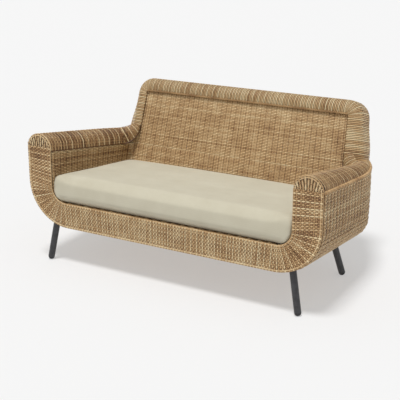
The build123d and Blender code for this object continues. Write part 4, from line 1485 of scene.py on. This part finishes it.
@dataclass
class Cushion:
    """The loose seat cushion: foam in a sewn cover that swells and creases a little."""

    half: float = 0.571
    middle: float = -0.004
    front_y: float = -0.430
    rear_clear: float = 0.004
    corner: float = 0.011
    # Up the cushion's side: height, how far it draws in at the ends, and how far at front and rear.
    levels: tuple[tuple[float, float, float], ...] = (
        (0.000, 0.052, 0.024),
        (0.006, 0.036, 0.009),
        (0.020, 0.016, 0.001),
        (0.044, 0.004, 0.000),
        (0.086, 0.001, 0.001),
        (0.107, 0.004, 0.004),
        (0.115, 0.012, 0.012),
        (0.118, 0.030, 0.030),
    )
    voxel: float = 0.006
    quick_voxel: float = 0.014
    pressure: float = 1.6
    steps: int = 14
    swell: float = 0.007
    fixed_below: float = 0.004
    crown: float = 0.006
    crown_from: float = 0.080
    crown_over: float = 0.030
    top_level: float = 0.100
    fold: float = 0.0016
    fold_pitch: float = 0.034
    fold_reach: float = 0.070
    fold_slant: tuple[float, float, float] = (0.8, -0.5, 1.2)
    deck_gap: float = 0.003

    def reach(self, height: float) -> float:
        """Length from front to back at a height above the deck, up to the leaning panel.

        Args:
            height: Height above the deck, square to it.

        Returns:
            The length along the deck.
        """
        tilt, slope = math.atan(SHELL.deck_fall), math.tan(SHELL.lean)
        start_z = float(SHELL.deck_z(self.front_y))
        level = float(SHELL.panel_y(start_z)) - self.front_y - self.rear_clear
        level += height * (slope * math.cos(tilt) - math.sin(tilt))
        return level / (math.cos(tilt) + slope * math.sin(tilt))

    def form(self) -> bpy.types.Object:
        """The cushion's unswollen form, drawn up level by level from a rounded oblong.

        Returns:
            The new object, in the cushion's own level frame.
        """
        bpy.ops.object.select_all(action="DESELECT")
        height, inset_x, inset_y = self.levels[0]
        length = self.reach(height)
        bpy.ops.mesh.primitive_plane_add(size=1.0, location=(0, length / 2, 0))
        piece = bpy.context.object
        piece.name = "cushion_pad"
        bpy.ops.object.mode_set(mode="EDIT")
        bpy.ops.mesh.select_all(action="SELECT")
        size = (2 * (self.half - inset_x), length - 2 * inset_y, 1.0)
        bpy.ops.transform.resize(value=size, center_override=(0, length / 2, 0))
        bpy.ops.mesh.bevel(offset=self.corner, segments=6, affect="VERTICES")
        for low, high in zip(self.levels, self.levels[1:]):
            before, after = self.reach(low[0]), self.reach(high[0])
            bpy.ops.mesh.extrude_region_move(
                TRANSFORM_OT_translate={"value": (0, (after - before) / 2, high[0] - low[0])}
            )
            grow = (
                (self.half - high[1]) / (self.half - low[1]),
                (after - 2 * high[2]) / (before - 2 * low[2]),
                1.0,
            )
            bpy.ops.transform.resize(value=grow, center_override=(0, after / 2, high[0]))
        bpy.ops.mesh.select_all(action="SELECT")
        bpy.ops.mesh.normals_make_consistent(inside=False)
        bpy.ops.object.mode_set(mode="OBJECT")
        return piece

    def swell_up(self, piece: bpy.types.Object) -> None:
        """Fills the form like a stuffed cover, and keeps each point near where it was.

        Args:
            piece: The unswollen form, which is changed.
        """
        remesh = piece.modifiers.new("even_faces", "REMESH")
        remesh.mode = "VOXEL"
        remesh.voxel_size = self.voxel
        bpy.ops.object.modifier_apply(modifier=remesh.name)
        rest = np.array([v.co[:] for v in piece.data.vertices])
        cloth = piece.modifiers.new("stuffing", "CLOTH")
        cloth.settings.quality = 5
        cloth.settings.mass = 0.3
        cloth.settings.use_pressure = True
        cloth.settings.uniform_pressure_force = self.pressure
        cloth.settings.tension_stiffness = 12
        cloth.settings.shrink_min = -0.01
        cloth.settings.effector_weights.gravity = 0
        cloth.collision_settings.use_collision = False
        for step in range(1, self.steps + 1):
            bpy.context.scene.frame_set(step)
        bpy.ops.object.modifier_apply(modifier=cloth.name)
        bpy.context.scene.frame_set(1)
        moved = np.array([v.co[:] for v in piece.data.vertices])
        shift = moved - rest
        size = np.linalg.norm(shift, axis=1, keepdims=True)
        typical, most = float(np.median(size)) * 1000, float(size.max()) * 1000
        log.info("cushion swells by %.1f mm, at most %.1f mm", typical, most)
        shift *= np.minimum(1.0, self.swell / np.maximum(size, 1e-9))
        shift = np.where(rest[:, 2:3] < self.fixed_below, 0.0, shift)
        piece.data.vertices.foreach_set("co", (rest + shift).astype(np.float32).ravel())
        piece.data.update()

    def crease(self, piece: bpy.types.Object) -> None:
        """Crowns the top and presses soft folds into the front corners.

        Args:
            piece: The swollen cushion in its own level frame, which is changed.
        """
        length = self.reach(self.top_level)
        slant_x, slant_y, slant_z = self.fold_slant
        for v in piece.data.vertices:
            x, y, z = v.co
            top = max(0.0, min(1.0, (z - self.crown_from) / self.crown_over))
            crown = math.cos(min(1.0, abs(x) / self.half) * QUARTER) ** 0.5
            crown *= math.sin(max(0.0, min(1.0, y / length)) * math.pi) ** 0.5
            z += self.crown * crown * top
            near = math.exp(-((self.half - abs(x)) ** 2 + y**2) / self.fold_reach**2)
            wave = (abs(x) * slant_x + z * slant_z + y * slant_y) / self.fold_pitch
            v.co = Vector((x, y + self.fold * near * math.sin(2 * math.pi * wave), z))
        piece.data.update()

    def build(self, material: bpy.types.Material) -> None:
        """Makes the cushion, tilts it onto the deck and gives it its cover.

        Args:
            material: The cover's cloth.
        """
        piece = self.form()
        self.swell_up(piece)
        self.crease(piece)
        bpy.ops.object.select_all(action="DESELECT")
        piece.select_set(True)
        bpy.context.view_layer.objects.active = piece
        smooth = piece.modifiers.new("soften", "SMOOTH")
        smooth.factor = 0.5
        smooth.iterations = 2
        bpy.ops.object.modifier_apply(modifier=smooth.name)
        finer = piece.modifiers.new("finer", "SUBSURF")
        finer.levels = 1
        bpy.ops.object.modifier_apply(modifier=finer.name)
        tilt = Matrix.Rotation(-math.atan(SHELL.deck_fall), 4, "X")
        rest = Vector((self.middle, self.front_y, float(SHELL.deck_z(self.front_y)) + self.deck_gap))
        piece.data.transform(Matrix.Translation(rest) @ tilt @ Matrix.Translation(piece.location))
        piece.location = (0, 0, 0)
        piece.data.shade_smooth()
        piece.data.materials.append(material)
        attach(piece, "cushion")
        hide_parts("cushion_cover", "cushion_core")
        log.info("cushion: %d faces", len(piece.data.polygons))


@dataclass
class SolidParts:
    """The pieces whose solids already have their true shape, and get their finishes here."""

    def dress(self) -> None:
        """Gives each carried-over node its finish."""
        finishes = {
            "weave_": ShadedGround().material(),
            "frame_": MillTube().material(),
            "leg_": PowderCoat().material(),
            "foot_": FootPlastic().material(),
        }
        for name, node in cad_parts.items():
            for start, material in finishes.items():
                if name.startswith(start):
                    node.data.materials.clear()
                    node.data.materials.append(material)
        log.info("dressed %d solids", len(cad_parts))


@dataclass
class Studio:
    """Pale floor, soft light and the camera at the photograph's angle."""

    azimuth: float = math.radians(29.621)
    elevation: float = math.radians(16.913)
    place: tuple[float, float, float] = (1.93202, -3.52410, 1.58858)
    lens: float = 84.14
    sensor: float = 36.0
    shift_y: float = -0.0574
    floor_size: float = 120.0
    sky: float = 0.42
    backdrop: float = 0.92
    key_from: tuple[float, float, float] = (-0.05, -0.55, 2.3)
    key_power: float = 2.35
    key_spread: float = math.radians(14.0)

    def camera(self) -> None:
        """Sets up the camera."""
        a, e = self.azimuth, self.elevation
        back = Vector((math.sin(a) * math.cos(e), -math.cos(a) * math.cos(e), math.sin(e)))
        right = Vector((math.cos(a), math.sin(a), 0))
        up = back.cross(right)
        data = bpy.data.cameras.new("camera")
        data.lens = self.lens
        data.sensor_width = self.sensor
        data.shift_y = self.shift_y
        camera = bpy.data.objects.new("camera", data)
        bpy.context.scene.collection.objects.link(camera)
        turn = Matrix((right, up, back)).transposed().to_4x4()
        camera.matrix_world = Matrix.Translation(self.place) @ turn
        bpy.context.scene.camera = camera

    def floor(self) -> None:
        """Lays the pale floor."""
        bpy.ops.object.select_all(action="DESELECT")
        bpy.ops.mesh.primitive_plane_add(size=self.floor_size, location=(0, 0, 0))
        floor = bpy.context.object
        floor.name = "studio_floor"
        floor.data.materials.append(StudioSheet().material())

    def key(self) -> None:
        """Adds the key light, which stands above and a little in front, broad enough for soft shadows."""
        data = bpy.data.lights.new("key", "SUN")
        data.energy = self.key_power
        data.angle = self.key_spread
        lamp = bpy.data.objects.new("key", data)
        bpy.context.scene.collection.objects.link(lamp)
        lamp.rotation_euler = (-Vector(self.key_from)).to_track_quat("-Z", "Y").to_euler()

    def light(self) -> None:
        """Lights the scene evenly from all round, and the backdrop a little more."""
        world = bpy.data.worlds.new("studio_light")
        world.use_nodes = True
        tree = world.node_tree
        seen = tree.nodes.new("ShaderNodeLightPath").outputs["Is Camera Ray"]
        level = tree.nodes.new("ShaderNodeMapRange")
        level.inputs["To Min"].default_value = self.sky
        level.inputs["To Max"].default_value = self.backdrop
        tree.links.new(seen, level.inputs["Value"])
        background = tree.nodes["Background"]
        background.inputs["Color"].default_value = (1.0, 1.0, 1.0, 1.0)
        tree.links.new(level.outputs["Result"], background.inputs["Strength"])
        bpy.context.scene.world = world
        bpy.context.scene.view_settings.view_transform = "Standard"

    def build(self) -> None:
        """Sets up the whole studio."""
        self.camera()
        self.floor()
        self.light()
        self.key()


def main() -> None:
    """Builds the loveseat's visible pieces in order."""
    logging.basicConfig(level=logging.INFO, format="%(name)s %(message)s")
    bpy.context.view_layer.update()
    Studio().build()
    SolidParts().dress()
    resin = WovenResin().material()
    BackPanel().build(resin)
    BackBorder().build(resin)
    for side in Side:
        ArmRoll(side).build(resin)
    FrontBand().build(resin)
    outside = ("side_right", "underside", "back_outer", "arm_roll_right", "back_border")
    BodyWalls(Skin(tuple(f"weave_{name}" for name in outside))).build(resin)
    SeatWell().build(resin)
    Cushion().build(CushionCloth().material())


if __name__ == "__main__":
    main()
